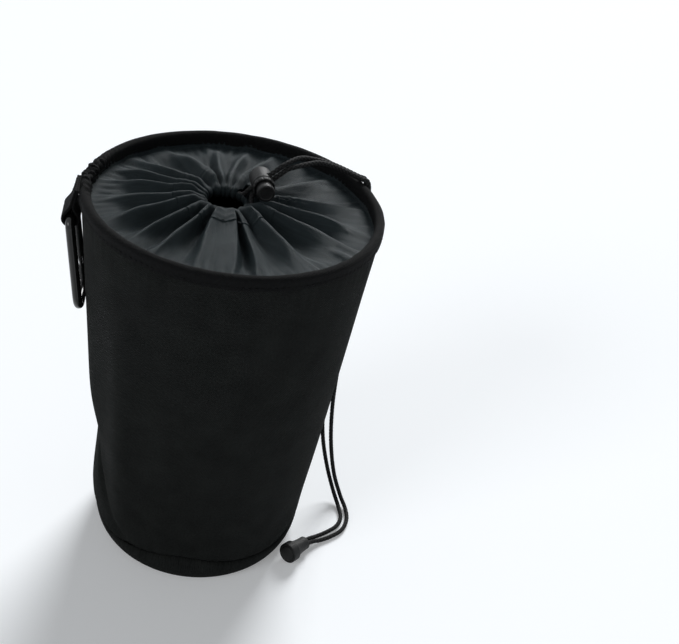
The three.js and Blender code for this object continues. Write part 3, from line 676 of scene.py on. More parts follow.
def seam_shift(bearing):
    """How far the base seam stands above its mean height."""
    return sum(rise * near(bearing, middle, width) for middle, width, rise in SEAM_WAVES)


def wall_fold(bearing, height):
    """How far the cloth stands out from the straight taper."""
    humps = sum(
        rise * near(bearing, middle, width) * swell(height, level, reach)
        for middle, width, level, reach, rise in WALL_HUMPS
    )
    upright = ease(height, *UPRIGHT_START) * (1 - ease(height, *UPRIGHT_END))
    folds = upright * sum(rise * near(bearing, middle, width) for middle, width, rise in UPRIGHT_FOLDS)
    free = ease(height, WALL_FOOT, FREE_FOOT) * (1 - ease(height, FREE_TOP, WALL_TOP))
    drift = SLACK * free * ring_noise(bearing, SLACK_FINENESS, height * SLACK_RISE)
    side_seam = SIDE_SEAM_RIDGE * (near(bearing, SIDE_SEAM, 2.2) - 1.6 * near(bearing, SIDE_SEAM, 0.5))
    at_seams = swell(height, WALL_FOOT, 0.010) + swell(height, UPPER_SEAM, 0.012)
    pucker = WALL_PUCKER * at_seams * ring_noise(bearing, TUCK_FINENESS, TUCK_LEVEL)
    foot = -SEAM_DRAW * swell(height, WALL_FOOT, 0.0016)
    return humps + folds + crease(bearing, height) + drift + side_seam + pucker + foot


print("the dent is", round(-wall_fold(DENT_BEARING, DENT_HEIGHT), 4), "m deep")

# %% Wall
WALL_RINGS = 110
WALL_STEPS = 300
SEAM_REACH = 0.03

wall_mesh = turned([(wall_radius(z), z) for z in spaced(WALL_FOOT, WALL_TOP, WALL_RINGS)], WALL_STEPS)
unroll(wall_mesh, (BASE_RADIUS + WALL_TOP_RADIUS) / 2)
for vert in wall_mesh.verts:
    radius, bearing = polar(vert.co)
    vert.co.xy *= 1 + wall_fold(bearing, vert.co.z) / radius
    vert.co.z += seam_shift(bearing) * (1 - ease(vert.co.z, WALL_FOOT, WALL_FOOT + SEAM_REACH))
wall = add_piece("wall_cloth", wall_mesh, "oxford_cloth", "bag", "body_panel")
thicken(wall, CLOTH, -1.0)

# %% [markdown]
# ## The base
# The base is a round of the same cloth. Its edge curls up to meet the wall in a turned seam a finger's
# width above the floor, which shows as a drawn-in line with small tucks.

# %% Base
BASE_FLAT = 0.057
BASE_STEPS = 240
BASE_PUCKER = 0.0005
CURL_STEPS, FLAT_STEPS = 14, 12

curl = [
    (mix(BASE_FLAT, BASE_RADIUS, math.sin(turn)), base_high.z * (1 - math.cos(turn)))
    for turn in spaced(0, math.pi / 2, CURL_STEPS)
]
base_mesh = turned([(radius, 0) for radius in spaced(0, BASE_FLAT, FLAT_STEPS)[:-1]] + curl, BASE_STEPS)
flat_map = base_mesh.loops.layers.uv.new("UVMap")
for face in base_mesh.faces:
    for loop in face.loops:
        loop[flat_map].uv = loop.vert.co.xy
for vert in base_mesh.verts:
    bearing = polar(vert.co)[1]
    edge = ease(vert.co.z, 0.004, base_high.z)
    tuck = BASE_PUCKER * ring_noise(bearing, TUCK_FINENESS, TUCK_LEVEL) * edge
    drawn_in = SEAM_DRAW * ease(vert.co.z, base_high.z - 0.0015, base_high.z)
    vert.co.xy *= 1 + (tuck - drawn_in) / BASE_RADIUS
    vert.co.z += seam_shift(bearing) * edge
base = add_piece("base_cloth", base_mesh, "oxford_cloth", "bag", "base_panel")
thicken(base, CLOTH, -1.0)

# %% [markdown]
# ## The rim binding
# A woven tape is folded over the wire hoop and the two cut edges, and sewn through. It is a spun fold with
# real thickness. Sewing puckers it between stitches, and near the webbing loop, where more layers meet,
# it is crumpled.

# %% Rim binding
rim_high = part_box("rim_binding")[1]
hoop_low, hoop_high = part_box("rim_hoop")
HOOP_RADIUS = hoop_high.x - (hoop_high.z - hoop_low.z) / 2
HOOP_HEIGHT = (hoop_low.z + hoop_high.z) / 2
BINDING = 0.0009
FOLD_RADIUS = rim_high.x - HOOP_RADIUS - BINDING / 2
BINDING_OUTER_FOOT = HOOP_HEIGHT - 0.0045
BINDING_INNER_FOOT = HOOP_HEIGHT - 0.0048
BINDING_STEPS, BINDING_FOLD_STEPS, BINDING_SIDE_STEPS = 480, 16, 6
STITCH_PITCH = 0.0032
STITCH_LINES, STITCH_REACH = (0.0015, 0.0148), 0.0014
STITCH_PULL, BINDING_CRUMPLE, BINDING_WAVER = 0.00016, 0.0021, 0.00022
TAB_BEARING = 185
CRUMPLE_BEARING, CRUMPLE_WIDTH = TAB_BEARING - 8, 16


def binding_profile():
    outer, inner = HOOP_RADIUS + FOLD_RADIUS, HOOP_RADIUS - FOLD_RADIUS
    up = [(outer, z) for z in spaced(BINDING_OUTER_FOOT, HOOP_HEIGHT, BINDING_SIDE_STEPS)[:-1]]
    over = arc((HOOP_RADIUS, HOOP_HEIGHT), FOLD_RADIUS, 0, 180, BINDING_FOLD_STEPS)
    down = [(inner, z) for z in spaced(HOOP_HEIGHT, BINDING_INNER_FOOT, BINDING_SIDE_STEPS)[1:]]
    return up + over + down


def binding_crumple(bearing, along):
    """Puckers between stitches, and creases near the webbing loop."""
    pull = math.cos(math.radians(bearing) * HOOP_RADIUS / STITCH_PITCH * 2 * math.pi)
    near_seam = sum(swell(along, line, STITCH_REACH) for line in STITCH_LINES)
    near_loop = near(bearing, CRUMPLE_BEARING, CRUMPLE_WIDTH)
    crumple = near_loop * ring_noise(bearing, 46, along * 330)
    waver = ring_noise(bearing, 9, along * 90)
    return BINDING_CRUMPLE * crumple + BINDING_WAVER * waver - STITCH_PULL * near_seam * (1 - pull)


binding_mesh = turned(binding_profile(), BINDING_STEPS)
unroll(binding_mesh, HOOP_RADIUS)
along = binding_mesh.verts.layers.float["along"]
for vert in binding_mesh.verts:
    bearing = polar(vert.co)[1]
    outward = Vector((vert.co.x, vert.co.y, 0)).normalized()
    hoop = outward * HOOP_RADIUS + Vector((0, 0, min(vert.co.z, HOOP_HEIGHT)))
    vert.co += (vert.co - hoop).normalized() * binding_crumple(bearing, vert[along])
binding = add_piece("rim_binding_tape", binding_mesh, "binding_tape", "bag", "rim_binding")
thicken(binding, BINDING)

# %% [markdown]
# ## The gathered collar
# A strip of thin satin closes the top. It is sewn to the rim all round and drawn in by the cord, so it
# stands in pleats that are tight at the mouth and open out towards the rim. Cloth simulation would give
# some pleats, but not these, so the crests are listed: the bearing of each at the casing and at the
# rim, how high it stands, and how much of that the valley after it falls. At the mouth the crests are wide
# with narrow clefts between them. Further out they are narrow, with wide hollows.

# %% Pleats
PLEATS = (
    (-152, -153, 0.0092, 1.0), (-132, -136, 0.0082, 0.9), (-115, -124, 0.0092, 1.0),
    (-101, -102, 0.0090, 0.2), (-77, -88, 0.0098, 1.0), (-68, -77, 0.0052, 0.7),
    (-47, -57, 0.0098, 1.0), (-23, -24, 0.0088, 1.0), (-4, -8, 0.0076, 0.8),
    (14, 13, 0.0068, 1.0), (34, 43, 0.0066, 1.0), (55, 60, 0.0066, 0.9),
    (73, 74, 0.0070, 0.9), (88, 87, 0.0065, 0.6), (100, 103, 0.0070, 0.8),
    (115, 129, 0.0092, 1.0), (147, 146, 0.0086, 0.6), (158, 158, 0.0066, 1.0),
    (174, 171, 0.0090, 0.8), (190, 189, 0.0066, 0.9),
)
PLEAT_INNER, PLEAT_OUTER = 0.026, 0.070
PLEAT_START, PLEAT_FULL, PLEAT_SETTLES, PLEAT_END = 0.0125, 0.0205, 0.046, 0.0755
PLEAT_SETTLED = 0.90
CLEFT_SOFTNESS = 0.25


def pleat_share(radius):
    """How much of a pleat's height stands at this distance from the mouth."""
    settled = PLEAT_SETTLED * ease(radius, PLEAT_SETTLES, PLEAT_END)
    return ease(radius, PLEAT_START, PLEAT_FULL) * (1 - settled)


def hollow(share, softness):
    """0 on the narrow crests at both ends and 1 in a wide hollow between them."""
    wave = math.hypot(math.sin(math.pi * share), softness) - softness
    return wave / (math.hypot(1, softness) - softness)


def cleft(share, softness):
    """0 on the wide crests at both ends and 1 in a narrow cleft between them."""
    return 1 - hollow(share + 0.5, softness)


@functools.cache
def crests_at(spread_out):
    """The bearings of all crests, from the casing at 0 to the rim at 1, and the first one again."""
    crests = [mix(inner, outer, spread_out) for inner, outer, _, _ in PLEATS]
    return crests + [crests[0] + 360]


def pleat(radius, bearing):
    """Height of the cloth from half way down its pleats, before it is shared out."""
    spread_out = round(min(max((radius - PLEAT_INNER) / (PLEAT_OUTER - PLEAT_INNER), 0.0), 1.0), 5)
    crests = crests_at(spread_out)
    whole = crests[0] + (bearing - crests[0]) % 360
    index = bisect.bisect_right(crests, whole, hi=len(PLEATS)) - 1
    share = (whole - crests[index]) / (crests[index + 1] - crests[index])
    _, _, rise, fall = PLEATS[index]
    next_rise = PLEATS[(index + 1) % len(PLEATS)][2]
    opened = ease(radius, 0.024, 0.040)
    dip = mix(cleft(share, CLEFT_SOFTNESS), hollow(share, mix(0.30, 0.14, spread_out)), opened)
    return mix(rise, next_rise, share) / 2 - (rise + next_rise) / 2 * fall * dip


print(len(PLEATS), "pleats")

# %% [markdown]
# ### From pleats to points
# One function places every point of the collar and of the casing, so that the two sheets share their
# pleats. It adds small creases, and lets the two cords press the pleats flat where they leave the casing.

# %% Gathered cloth
CREASE_RISE, CRINKLE_FALL, BUNCH_RISE = 0.0010, 0.0007, 0.0022
BUNCH_RADIUS, BUNCH_BEARING = 0.034, 7
HELD_SHARE, HELD_WIDTH = 0.8, 30


def collar_ripple(radius, bearing):
    """Small creases that run with the pleats, and tucks where the cloth meets the rim."""
    fine = CREASE_RISE * ring_noise(bearing, 5, radius * 45)
    loose = 0.0001 + 0.0011 * ease(radius, 0.052, 0.068)
    tuck = loose * ring_noise(bearing, 17, radius * 60 + 9)
    crinkle = CRINKLE_FALL * abs(ring_noise(bearing, 10, radius * 40 + 4))
    bunch = BUNCH_RISE * swell(radius, BUNCH_RADIUS, 0.006) * near(bearing, BUNCH_BEARING, 11)
    return fine + tuck - crinkle + bunch * ring_noise(bearing, 40, radius * 420)


def held_down(radius, bearing):
    """How much the two cords flatten the pleats where they leave the casing."""
    return HELD_SHARE * near(bearing, LOCK_BEARING, HELD_WIDTH) * (1 - ease(radius, 0.019, 0.030))


def gathered(radius, bearing, height):
    """A point of the collar or casing, at a distance and bearing from the mouth's middle."""
    turn = math.radians(bearing)
    pull = 1 - ease(radius, 0.028, PLEAT_END)
    free = ease(radius, 0.022, 0.032) * (1 - ease(radius, PLEAT_OUTER, PLEAT_END))
    stands = pleat_share(radius) * (1 - held_down(radius, bearing))
    rise = stands * pleat(radius, bearing) + free * collar_ripple(radius, bearing)
    return Vector((
        radius * math.cos(turn) + MOUTH.x * pull,
        radius * math.sin(turn) + MOUTH.y * pull,
        height + rise,
    ))


print("front pleat stands", round(gathered(0.04, -101, 0).z, 4), "m above its middle")

# %% Collar
COLLAR_STEPS, COLLAR_RINGS = 840, 52
LINING = 0.0008
COLLAR_SEAM = Vector((0.0742, 0.2213))
COLLAR_CREST = MOUTH_HEIGHT + 0.0010
COLLAR_CREST_RADIUS = 0.028
COLLAR_EDGE = 0.0245
FLANGE_RADIUS = 0.0756
FLANGE = [(FLANGE_RADIUS, 0.2252), (FLANGE_RADIUS - 0.0002, 0.2232), (COLLAR_SEAM.x + 0.0008, 0.2218)]


def collar_height(radius):
    share = min((COLLAR_SEAM.x - radius) / (COLLAR_SEAM.x - COLLAR_CREST_RADIUS), 1.0)
    return mix(COLLAR_SEAM.y, COLLAR_CREST, share)


slope = [(radius, collar_height(radius)) for radius in spaced(COLLAR_SEAM.x, COLLAR_EDGE, COLLAR_RINGS)]
collar_mesh = turned(FLANGE + slope, COLLAR_STEPS)
unroll(collar_mesh, FLANGE_RADIUS)
for vert in collar_mesh.verts:
    vert.co = gathered(*polar(vert.co), vert.co.z)
collar = add_piece("gathered_collar", collar_mesh, "satin_lining", "bag", "gather_collar")
thicken(collar, LINING)

# %% [markdown]
# ## The casing
# At the mouth the cloth is turned over the cord and stitched down a thumb's width back. The turned band
# is a closed fold, spun and then gathered with the collar, so crests run on into it. Each crest ends in a
# puffed lip round the hole. Under the lock the band's upper side is open, where the two cord ends come out.

# %% Casing profile
CASING_CLOTH = 0.0007
CASING_REACH = 0.0285
CASING_TUCK = CASING_REACH - 0.0055
CASING_HALF, CASING_EDGE_HALF, CASING_CROWN = 0.0011, 0.00045, 0.00245
CASING_BULGE, CASING_NOSE = 0.0145, 0.0114


def casing_middle(radius):
    return mix(MOUTH_HEIGHT, COLLAR_CREST, ease(radius, 0.0155, 0.0240))


def casing_half(sign):
    """One side of the fold, from the stitched edge to the nose at the hole."""
    band = [
        (mix(CASING_REACH, CASING_TUCK, t), mix(CASING_EDGE_HALF, CASING_HALF, ease(t, 0.25, 0.8)))
        for t in spaced(0, 1, 8)
    ]
    climb = [
        (mix(CASING_TUCK, CASING_BULGE, t), mix(CASING_HALF, CASING_CROWN, ease(t, 0, 1)))
        for t in spaced(0, 1, 10)[1:]
    ]
    nose = [
        (mix(CASING_BULGE, CASING_NOSE, math.sin(t)), CASING_CROWN * math.cos(t))
        for t in spaced(0, math.pi / 2, 8)[1:]
    ]
    return [(radius, casing_middle(radius) + sign * half) for radius, half in band + climb + nose]


print("the fold has", len(casing_half(1)), "points on each side")

# %% Casing
EXIT_HALF_ANGLE = 38
EXIT_INNER, EXIT_OUTER = 0.0119, 0.0176
LIP_FULL, LIP_PUFF, LIP_REACH, LIP_BACK = 0.0095, 0.5, 0.0014, 0.15


def lip(bearing):
    """From 0 in a valley to about 1 on a crest, at the casing."""
    return max(0.5 + pleat(PLEAT_INNER, bearing) / LIP_FULL, 0.0)


def over_cord(face):
    """True on the fold's upper side where the two cord ends come out."""
    middle = face.calc_center_median()
    radius, bearing = polar(middle)
    opened = EXIT_INNER < radius < EXIT_OUTER and middle.z > MOUTH_HEIGHT
    return opened and abs(apart(bearing, LOCK_BEARING)) < EXIT_HALF_ANGLE


casing_mesh = turned(casing_half(1) + casing_half(-1)[-2::-1], COLLAR_STEPS)
unroll(casing_mesh, FLANGE_RADIUS)
bmesh.ops.delete(casing_mesh, geom=[f for f in casing_mesh.faces if over_cord(f)], context="FACES")
for vert in casing_mesh.verts:
    radius, bearing = polar(vert.co)
    raised = lip(bearing)
    puff = LIP_PUFF * raised * (1 - ease(radius, 0.018, 0.024))
    height = vert.co.z + (vert.co.z - casing_middle(radius)) * puff
    reach_in = LIP_REACH * (raised - LIP_BACK) * (1 - ease(radius, 0.013, 0.020))
    vert.co = gathered(radius - reach_in, bearing, height)
casing = add_piece("casing_band", casing_mesh, "satin_lining", "bag", "cord_casing")
thicken(casing, CASING_CLOTH)

# %% [markdown]
# ## Stitches
# Thread shows wherever cloth is sewn: round the casing, along both edges of the binding and across the
# webbing. A texture could paint it, but it would vanish from the side. Each stitch is a small ball
# stretched along the seam and half sunk in the cloth.

# %% Stitches
THREAD = 0.00042
STITCH_SHARE = 0.74
STITCH_SINK = 0.0002
CASING_STITCHES, CASING_STITCH_RADIUS = 62, 0.0274


def add_stitches(name, line, finish="binding_tape"):
    """One row of stitches: line holds a place for each needle hole and the cloth's facing there."""
    bm = bmesh.new()
    layer = bm.loops.layers.uv.new("UVMap")
    for (start, facing), (end, _) in zip(line, line[1:]):
        way = end - start
        side = way.normalized().cross(facing).normalized()
        turn = Matrix((way.normalized(), side, facing)).transposed().to_4x4()
        size = Matrix.Diagonal((way.length * STITCH_SHARE / 2, THREAD, THREAD * 0.8, 1))
        place = Matrix.Translation((start + end) / 2) @ turn @ size
        made = bmesh.ops.create_icosphere(bm, subdivisions=2, radius=1, matrix=place)
        for loop in {loop for vert in made["verts"] for loop in vert.link_loops}:
            loop[layer].uv = loop.vert.co.xy
    return add_piece(name, bm, finish, "bag")


def rim_row(radius, height, facing_out):
    row = []
    for turn in spaced(0, 2 * math.pi, round(2 * math.pi * radius / STITCH_PITCH)):
        out = Vector((math.cos(turn), math.sin(turn), 0))
        row.append((out * radius + Vector((0, 0, height)), out * facing_out))
    return row


stitch_level = COLLAR_CREST + CASING_EDGE_HALF + CASING_CLOTH / 2
casing_row = [
    (gathered(CASING_STITCH_RADIUS, bearing, stitch_level), Vector((0, 0, 1)))
    for bearing in spaced(0, 360, CASING_STITCHES)
]
add_stitches("casing_stitches", casing_row, "satin_lining")
to_face = FOLD_RADIUS + BINDING / 2 - STITCH_SINK
for name, level, out in (
    ("rim_outer_stitches", BINDING_OUTER_FOOT + 0.0014, 1),
    ("rim_inner_stitches", BINDING_INNER_FOOT + 0.0013, -1),
):
    add_stitches(name, rim_row(HOOP_RADIUS + out * to_face, level, out))

# %% [markdown]
# ## The cord lock
# The lock is a moulded barrel with a sprung plunger: pressing its round button lines the two slots up and
# frees the cords. Barrel and button are spun from profiles with rounded edges, in the lock's own frame.
# The slot that the cords pass through is a cut, made with a Boolean modifier that is applied at once. The
# plunger's slot is longer by the button's travel, so that it never meets the cords.

# %% Rounded profiles and cuts
def rounded_corner(start, corner, end, count):
    """Points of a curve from start to end, drawn towards the corner between them."""
    return [start * (1 - t) ** 2 + corner * (2 * t * (1 - t)) + end * t ** 2 for t in spaced(0, 1, count)]


def soft_profile(points, radius):
    """A profile whose inner corners are rounded with short curves."""
    line = [points[0]]
    for before, here, after in zip(points, points[1:], points[2:]):
        here = Vector(here)
        into, out = Vector(before) - here, Vector(after) - here
        reach = min(radius, into.length / 2.01, out.length / 2.01)
        ends = here + into.normalized() * reach, here + out.normalized() * reach
        line += [tuple(place) for place in rounded_corner(ends[0], here, ends[1], 4)]
    return line + [points[-1]]


def rounded_block(low, high, edge=0.0):
    """A block between two corners, with rounded edges."""
    bm = bmesh.new()
    bmesh.ops.create_cube(bm, size=1)
    low, high = Vector(low), Vector(high)
    bmesh.ops.scale(bm, vec=high - low, verts=bm.verts[:])
    bmesh.ops.translate(bm, vec=(low + high) / 2, verts=bm.verts[:])
    if edge:
        bmesh.ops.bevel(
            bm, geom=bm.edges[:], offset=edge, offset_type="OFFSET", affect="EDGES",
            segments=4, profile=0.5, material=-1,
        )
    return bm


def cut_away(bm, *cutters):
    """The solid without the cutters."""
    parts = []
    for source in (bm, *cutters):
        mesh = bpy.data.meshes.new("cut")
        source.to_mesh(mesh)
        source.free()
        parts.append(bpy.data.objects.new("cut", mesh))
        scene.collection.objects.link(parts[-1])
    solid = parts[0]
    for cutter in parts[1:]:
        made = solid.modifiers.new("cut", "BOOLEAN")
        made.operation = "DIFFERENCE"
        made.solver = "EXACT"
        made.object = cutter
    done = bmesh.new()
    done.from_object(solid, bpy.context.evaluated_depsgraph_get())
    for part in parts:
        bpy.data.objects.remove(part)
    return done


print("helpers for moulded pieces ready")

# %% Lock barrel
LOCK_AXES = Matrix((CORD_WAY, STACK_WAY, BUTTON_WAY)).transposed()
LOCK_FRAME = Matrix.Translation(LOCK_CENTRE) @ LOCK_AXES.to_4x4()
PASS_HEIGHT = CORD + 0.0007
PASS_WIDTH = LOCK_CORD_SPACING + PASS_HEIGHT
PASS_REACH = 0.02
LOCK_RADIUS, LOCK_BORE, LOCK_GROOVE = 0.006, 0.0047, 0.0004
LOCK_FOOT, LOCK_MOUTH, LOCK_FLOOR = -0.0088, 0.006, -0.0076
GRIPS, GRIP_DEPTH = 12, 0.00045
MOULDED_EDGE = 0.0006
TURNED_STEPS = 96


def cord_pass(edge, extra=0.0):
    """The slot for the two cords, side by side, with extra room above them."""
    low = -PASS_REACH, -PASS_WIDTH / 2, -PASS_HEIGHT / 2
    return rounded_block(low, (PASS_REACH, PASS_WIDTH / 2, PASS_HEIGHT / 2 + extra), edge)


barrel_line = [
    (0, LOCK_FOOT), (0.0052, LOCK_FOOT), (LOCK_RADIUS, LOCK_FOOT + 0.0008), (LOCK_RADIUS, 0.0026),
    (LOCK_RADIUS - LOCK_GROOVE, 0.0029), (LOCK_RADIUS - LOCK_GROOVE, 0.0033), (LOCK_RADIUS, 0.0036),
    (LOCK_RADIUS, LOCK_MOUTH), (LOCK_BORE, LOCK_MOUTH), (LOCK_BORE, LOCK_FLOOR), (0, LOCK_FLOOR),
]
barrel_mesh = turned(soft_profile(barrel_line, MOULDED_EDGE), TURNED_STEPS)
for vert in barrel_mesh.verts:
    radius = math.hypot(vert.co.x, vert.co.y)
    if radius > LOCK_BORE + MOULDED_EDGE:
        turn = math.atan2(vert.co.y, vert.co.x)
        grip = max(math.cos(GRIPS * turn), 0) ** 4 * ease(vert.co.z, 0.0036, 0.0044)
        vert.co.xy *= 1 - GRIP_DEPTH * grip / radius
barrel_mesh = cut_away(barrel_mesh, cord_pass(PASS_HEIGHT / 2.2))
barrel_mesh.transform(LOCK_FRAME)
add_piece("lock_barrel_moulding", barrel_mesh, "lock_plastic", "cord_lock", "lock_barrel")

# %% Lock button
BUTTON_SOLE, BUTTON_TRAVEL = -0.003, 0.0028
STEM_RADIUS, HEAD_RADIUS = 0.0044, 0.0048

button_line = [
    (0, BUTTON_SOLE), (STEM_RADIUS, BUTTON_SOLE), (STEM_RADIUS, 0.0091), (HEAD_RADIUS, 0.0091),
    (HEAD_RADIUS, 0.0117), (0.0036, 0.0119), (0.0033, 0.0116), (0, 0.0116),
]
button_mesh = turned(soft_profile(button_line, MOULDED_EDGE), TURNED_STEPS)
button_mesh = cut_away(button_mesh, cord_pass(0.001, BUTTON_TRAVEL))
button_mesh.transform(LOCK_FRAME)
add_piece("lock_button_moulding", button_mesh, "lock_plastic", "button", "lock_button")

# %% [markdown]
# ## The cord end bell
# The two cord ends are knotted inside a small flared bell and shut in by a domed cap. The knot can't be
# seen, so a plain trefoil of cord stands for it.

# %% Cord end bell
BELL_LENGTH, FLARE_SHARE = 0.0174, 0.7
BELL_NECK_RADIUS, BELL_RADIUS, BELL_ROOM_RADIUS = 0.0042, 0.0064, 0.0046
BELL_EDGE, NECK_EDGE = 0.0006, 0.0004
THROAT_RADIUS, THROAT_END = 0.00325, 0.0058
CAP_SEAT, CAP_LEDGE = 0.0052, 0.0154
BELL_TURN = Vector((0, 0, 1)).rotation_difference(BELL_WAY).to_matrix()
BELL_FRAME = Matrix.Translation(BELL_NECK) @ BELL_TURN.to_4x4()

flare = [
    (mix(BELL_RADIUS, BELL_NECK_RADIUS, math.cos(turn)), BELL_LENGTH * FLARE_SHARE * math.sin(turn))
    for turn in spaced(0, math.pi / 2, 12)
]
bell_line = [(THROAT_RADIUS, THROAT_END), (THROAT_RADIUS, NECK_EDGE), (THROAT_RADIUS + 0.0003, 0.0)]
bell_line += [(BELL_NECK_RADIUS - 0.0003, 0.0), (BELL_NECK_RADIUS, NECK_EDGE), *flare[1:]]
bell_line += arc((BELL_RADIUS - BELL_EDGE, BELL_LENGTH - BELL_EDGE), BELL_EDGE, 0, 90, 5)
bell_line += [(CAP_SEAT, BELL_LENGTH), (CAP_SEAT, CAP_LEDGE)]
bell_line += [(BELL_ROOM_RADIUS, CAP_LEDGE), (BELL_ROOM_RADIUS, 0.0106)]
bell_mesh = turned(bell_line, TURNED_STEPS, closed=True)
bell_mesh.transform(BELL_FRAME)
bell = add_piece("bell_moulding", bell_mesh, "lock_plastic", "bag", "cord_end_bell")

# %% Cord end cap
CAP_RADIUS, CAP_FOOT, CAP_RISE = CAP_SEAT - 0.0003, CAP_LEDGE + 0.0003, 0.0009

dome = [
    (CAP_RADIUS * math.cos(turn), BELL_LENGTH + CAP_RISE * math.sin(turn))
    for turn in spaced(0, math.pi / 2, 8)[:-1]
]
cap_line = [(0, CAP_FOOT), (CAP_RADIUS, CAP_FOOT), *dome, (0, BELL_LENGTH + CAP_RISE)]
cap_mesh = turned(cap_line, TURNED_STEPS)
cap_mesh.transform(BELL_FRAME)
cap = add_piece("bell_cap_moulding", cap_mesh, "lock_plastic", "bag", "cord_end_cap")

# %% Knot
KNOT_MIDDLE, KNOT_REACH, KNOT_HALF = 0.0105, 0.0010, 0.0026
KNOT_POINTS = 80


def knot_point(turn):
    ring = KNOT_REACH * (1.35 + 0.55 * math.cos(3 * turn))
    height = KNOT_MIDDLE + KNOT_HALF * math.sin(3 * turn)
    return BELL_FRAME @ Vector((ring * math.cos(2 * turn), ring * math.sin(2 * turn), height))


knot_line = [knot_point(turn) for turn in spaced(0, 2 * math.pi, KNOT_POINTS)[:-1]]
knot_mesh = braided_tube(evenly(knot_line, CORD_STEP))
knot = add_piece("knot_cord", knot_mesh, "braided_cord", "bag", "cord_end_knot")

# %% [markdown]
# ### The drawstring's length
# The cord's length is the sum of its three stretches: the loop in the casing and the two tails.

lengths = [length_of(loop_line)] + [length_of(line) for _, line in tails]
print("drawstring:", round(sum(lengths), 3), "m of cord in", len(lengths), "stretches")

# %% [markdown]
# ## The webbing loop
# A short length of ribbed webbing is folded round the hook's top bar. Its two plies are sewn together just
# above the bar, and both ends to the binding's face. A flat strip follows the fold's line and is given its
# thickness and rounded edges.

# %% Webbing line
hook_joint = next(j for j in frame["joints"] if j["name"] == "hook_swing")
HOOK_PLACE = Vector(hook_joint["pos_m"])
HANGER_TURN = Matrix.Rotation(math.radians(TAB_BEARING), 4, "Z")
HOOK_RADIUS = math.hypot(HOOK_PLACE.x, HOOK_PLACE.y)
WEBBING, WEBBING_EDGE = 0.0014, 0.0004
WEBBING_WIDTH = 0.018
LOOP_BORE = 0.0034
PLY_SPACING = Vector((WEBBING - 0.0001, 0))
PLY_END = Vector((rim_high.x - 0.0006 + WEBBING / 2, HOOP_HEIGHT + 0.0010))
PLY_SEWN = Vector((HOOK_RADIUS - 0.0009, HOOK_PLACE.z + 0.0065))
PLY_BEND = 0.002


def webbing_line():
    """Radius and height along the fold, down from the binding, round the bar and back up."""
    middle = LOOP_BORE + WEBBING / 2
    centre = Vector((HOOK_RADIUS, HOOK_PLACE.z))

    def touch(end, sign):
        away = end - centre
        return math.degrees(math.atan2(away.y, away.x) + sign * math.acos(middle / away.length))

    inner, outer = PLY_SEWN, PLY_SEWN + PLY_SPACING
    round_bar = arc(centre, middle, touch(inner, 1), 360 + touch(outer, -1), 28)
    down = soft_profile([tuple(PLY_END), tuple(inner), round_bar[0]], PLY_BEND)
    back = soft_profile([round_bar[-1], tuple(outer), tuple(PLY_END + PLY_SPACING)], PLY_BEND)
    return down[:-1] + round_bar + back[1:]


fold_line = webbing_line()
print("the webbing's line has", len(fold_line), "points")


# %% Webbing loop
def strip_mesh(line, width, across):
    """A flat strip along a line of radius and height, with a UV map in metres."""
    bm = bmesh.new()
    layer = bm.loops.layers.uv.new("UVMap")
    row = [bm.verts.new((radius, -width / 2, height)) for radius, height in line]
    edges = [bm.edges.new(pair) for pair in zip(row, row[1:])]
    for _ in range(across):
        made = bmesh.ops.extrude_edge_only(bm, edges=edges)["geom"]
        edges = [e for e in made if isinstance(e, bmesh.types.BMEdge)]
        moved = [v for v in made if isinstance(v, bmesh.types.BMVert)]
        bmesh.ops.translate(bm, vec=(0, width / across, 0), verts=moved)
    for face in bm.faces:
        for loop in face.loops:
            loop[layer].uv = (loop.vert.co.y, loop.vert.co.z + loop.vert.co.x)
    bmesh.ops.recalc_face_normals(bm, faces=bm.faces[:])
    return bm


loop_mesh = strip_mesh(fold_line, WEBBING_WIDTH, 12)
loop_mesh.transform(HANGER_TURN)
webbing = add_piece("webbing_loop", loop_mesh, "webbing", "bag", "hanging_loop")
thicken(webbing, WEBBING)
edge = webbing.modifiers.new("edge", "BEVEL")
edge.width = WEBBING_EDGE
edge.segments = 2
edge.limit_method = "ANGLE"


# %% Webbing stitches
def webbing_row(drop):
    """A row of stitches across the outer ply, this far below its end."""
    upper, lower = Vector(fold_line[-1]), Vector(fold_line[-2])
    down = (lower - upper).normalized()
    facing = Vector((-down.y, 0, down.x))
    radius, height = upper + down * drop
    face = Vector((radius, 0, height)) + facing * (WEBBING / 2)
    across = spaced(-0.4 * WEBBING_WIDTH, 0.4 * WEBBING_WIDTH, 6)
    return [(HANGER_TURN @ (face + Vector((0, y, 0))), HANGER_TURN.to_3x3() @ facing) for y in across]


for name, drop in (("webbing_upper_stitches", 0.0012), ("webbing_lower_stitches", 0.0075)):
    add_stitches(name, webbing_row(drop), "webbing")

# %% [markdown]
# ## The snap hook
# The hook is a bent round bar: a short top bar in the webbing, a long spine, a wide bottom bow and a nose.
# A curve with a round bevel follows the bends, and its two ends are flattened into the tongues that the
# gate closes over. The gate is a straight bar, slotted over both tongues.

# %% Hook sizes
gate_joint = next(j for j in frame["joints"] if j["name"] == "gate_open")
HOOK_LEAN = math.asin(-gate_joint["axis"][2])
HOOK_FRAME = Matrix.Translation(HOOK_PLACE) @ HANGER_TURN @ Matrix.Rotation(HOOK_LEAN, 4, "Y")
BAR, BAR_SIDES, BAR_STEP = 0.0025, 32, 0.0004
HALF_TOP, HOOK_LENGTH, HOOK_FLARE = 0.012, 0.055, 0.004
TOP_BEND, BOW_BEND, BEND_STEPS = 0.005, 0.011, 12
PIVOT_DROP, GATE_REACH, GATE_TAIL, GATE_TIP = 0.011, 0.027, 0.0024, 0.003
GATE_SLANT = math.atan2(HOOK_FLARE, HOOK_LENGTH)
PIVOT = Vector((0, -HALF_TOP, 0)) - PIVOT_DROP * Vector((0, math.sin(GATE_SLANT), math.cos(GATE_SLANT)))
GATE_LOCAL = Matrix.Translation(PIVOT) @ Matrix.Rotation(-GATE_SLANT, 4, "X")
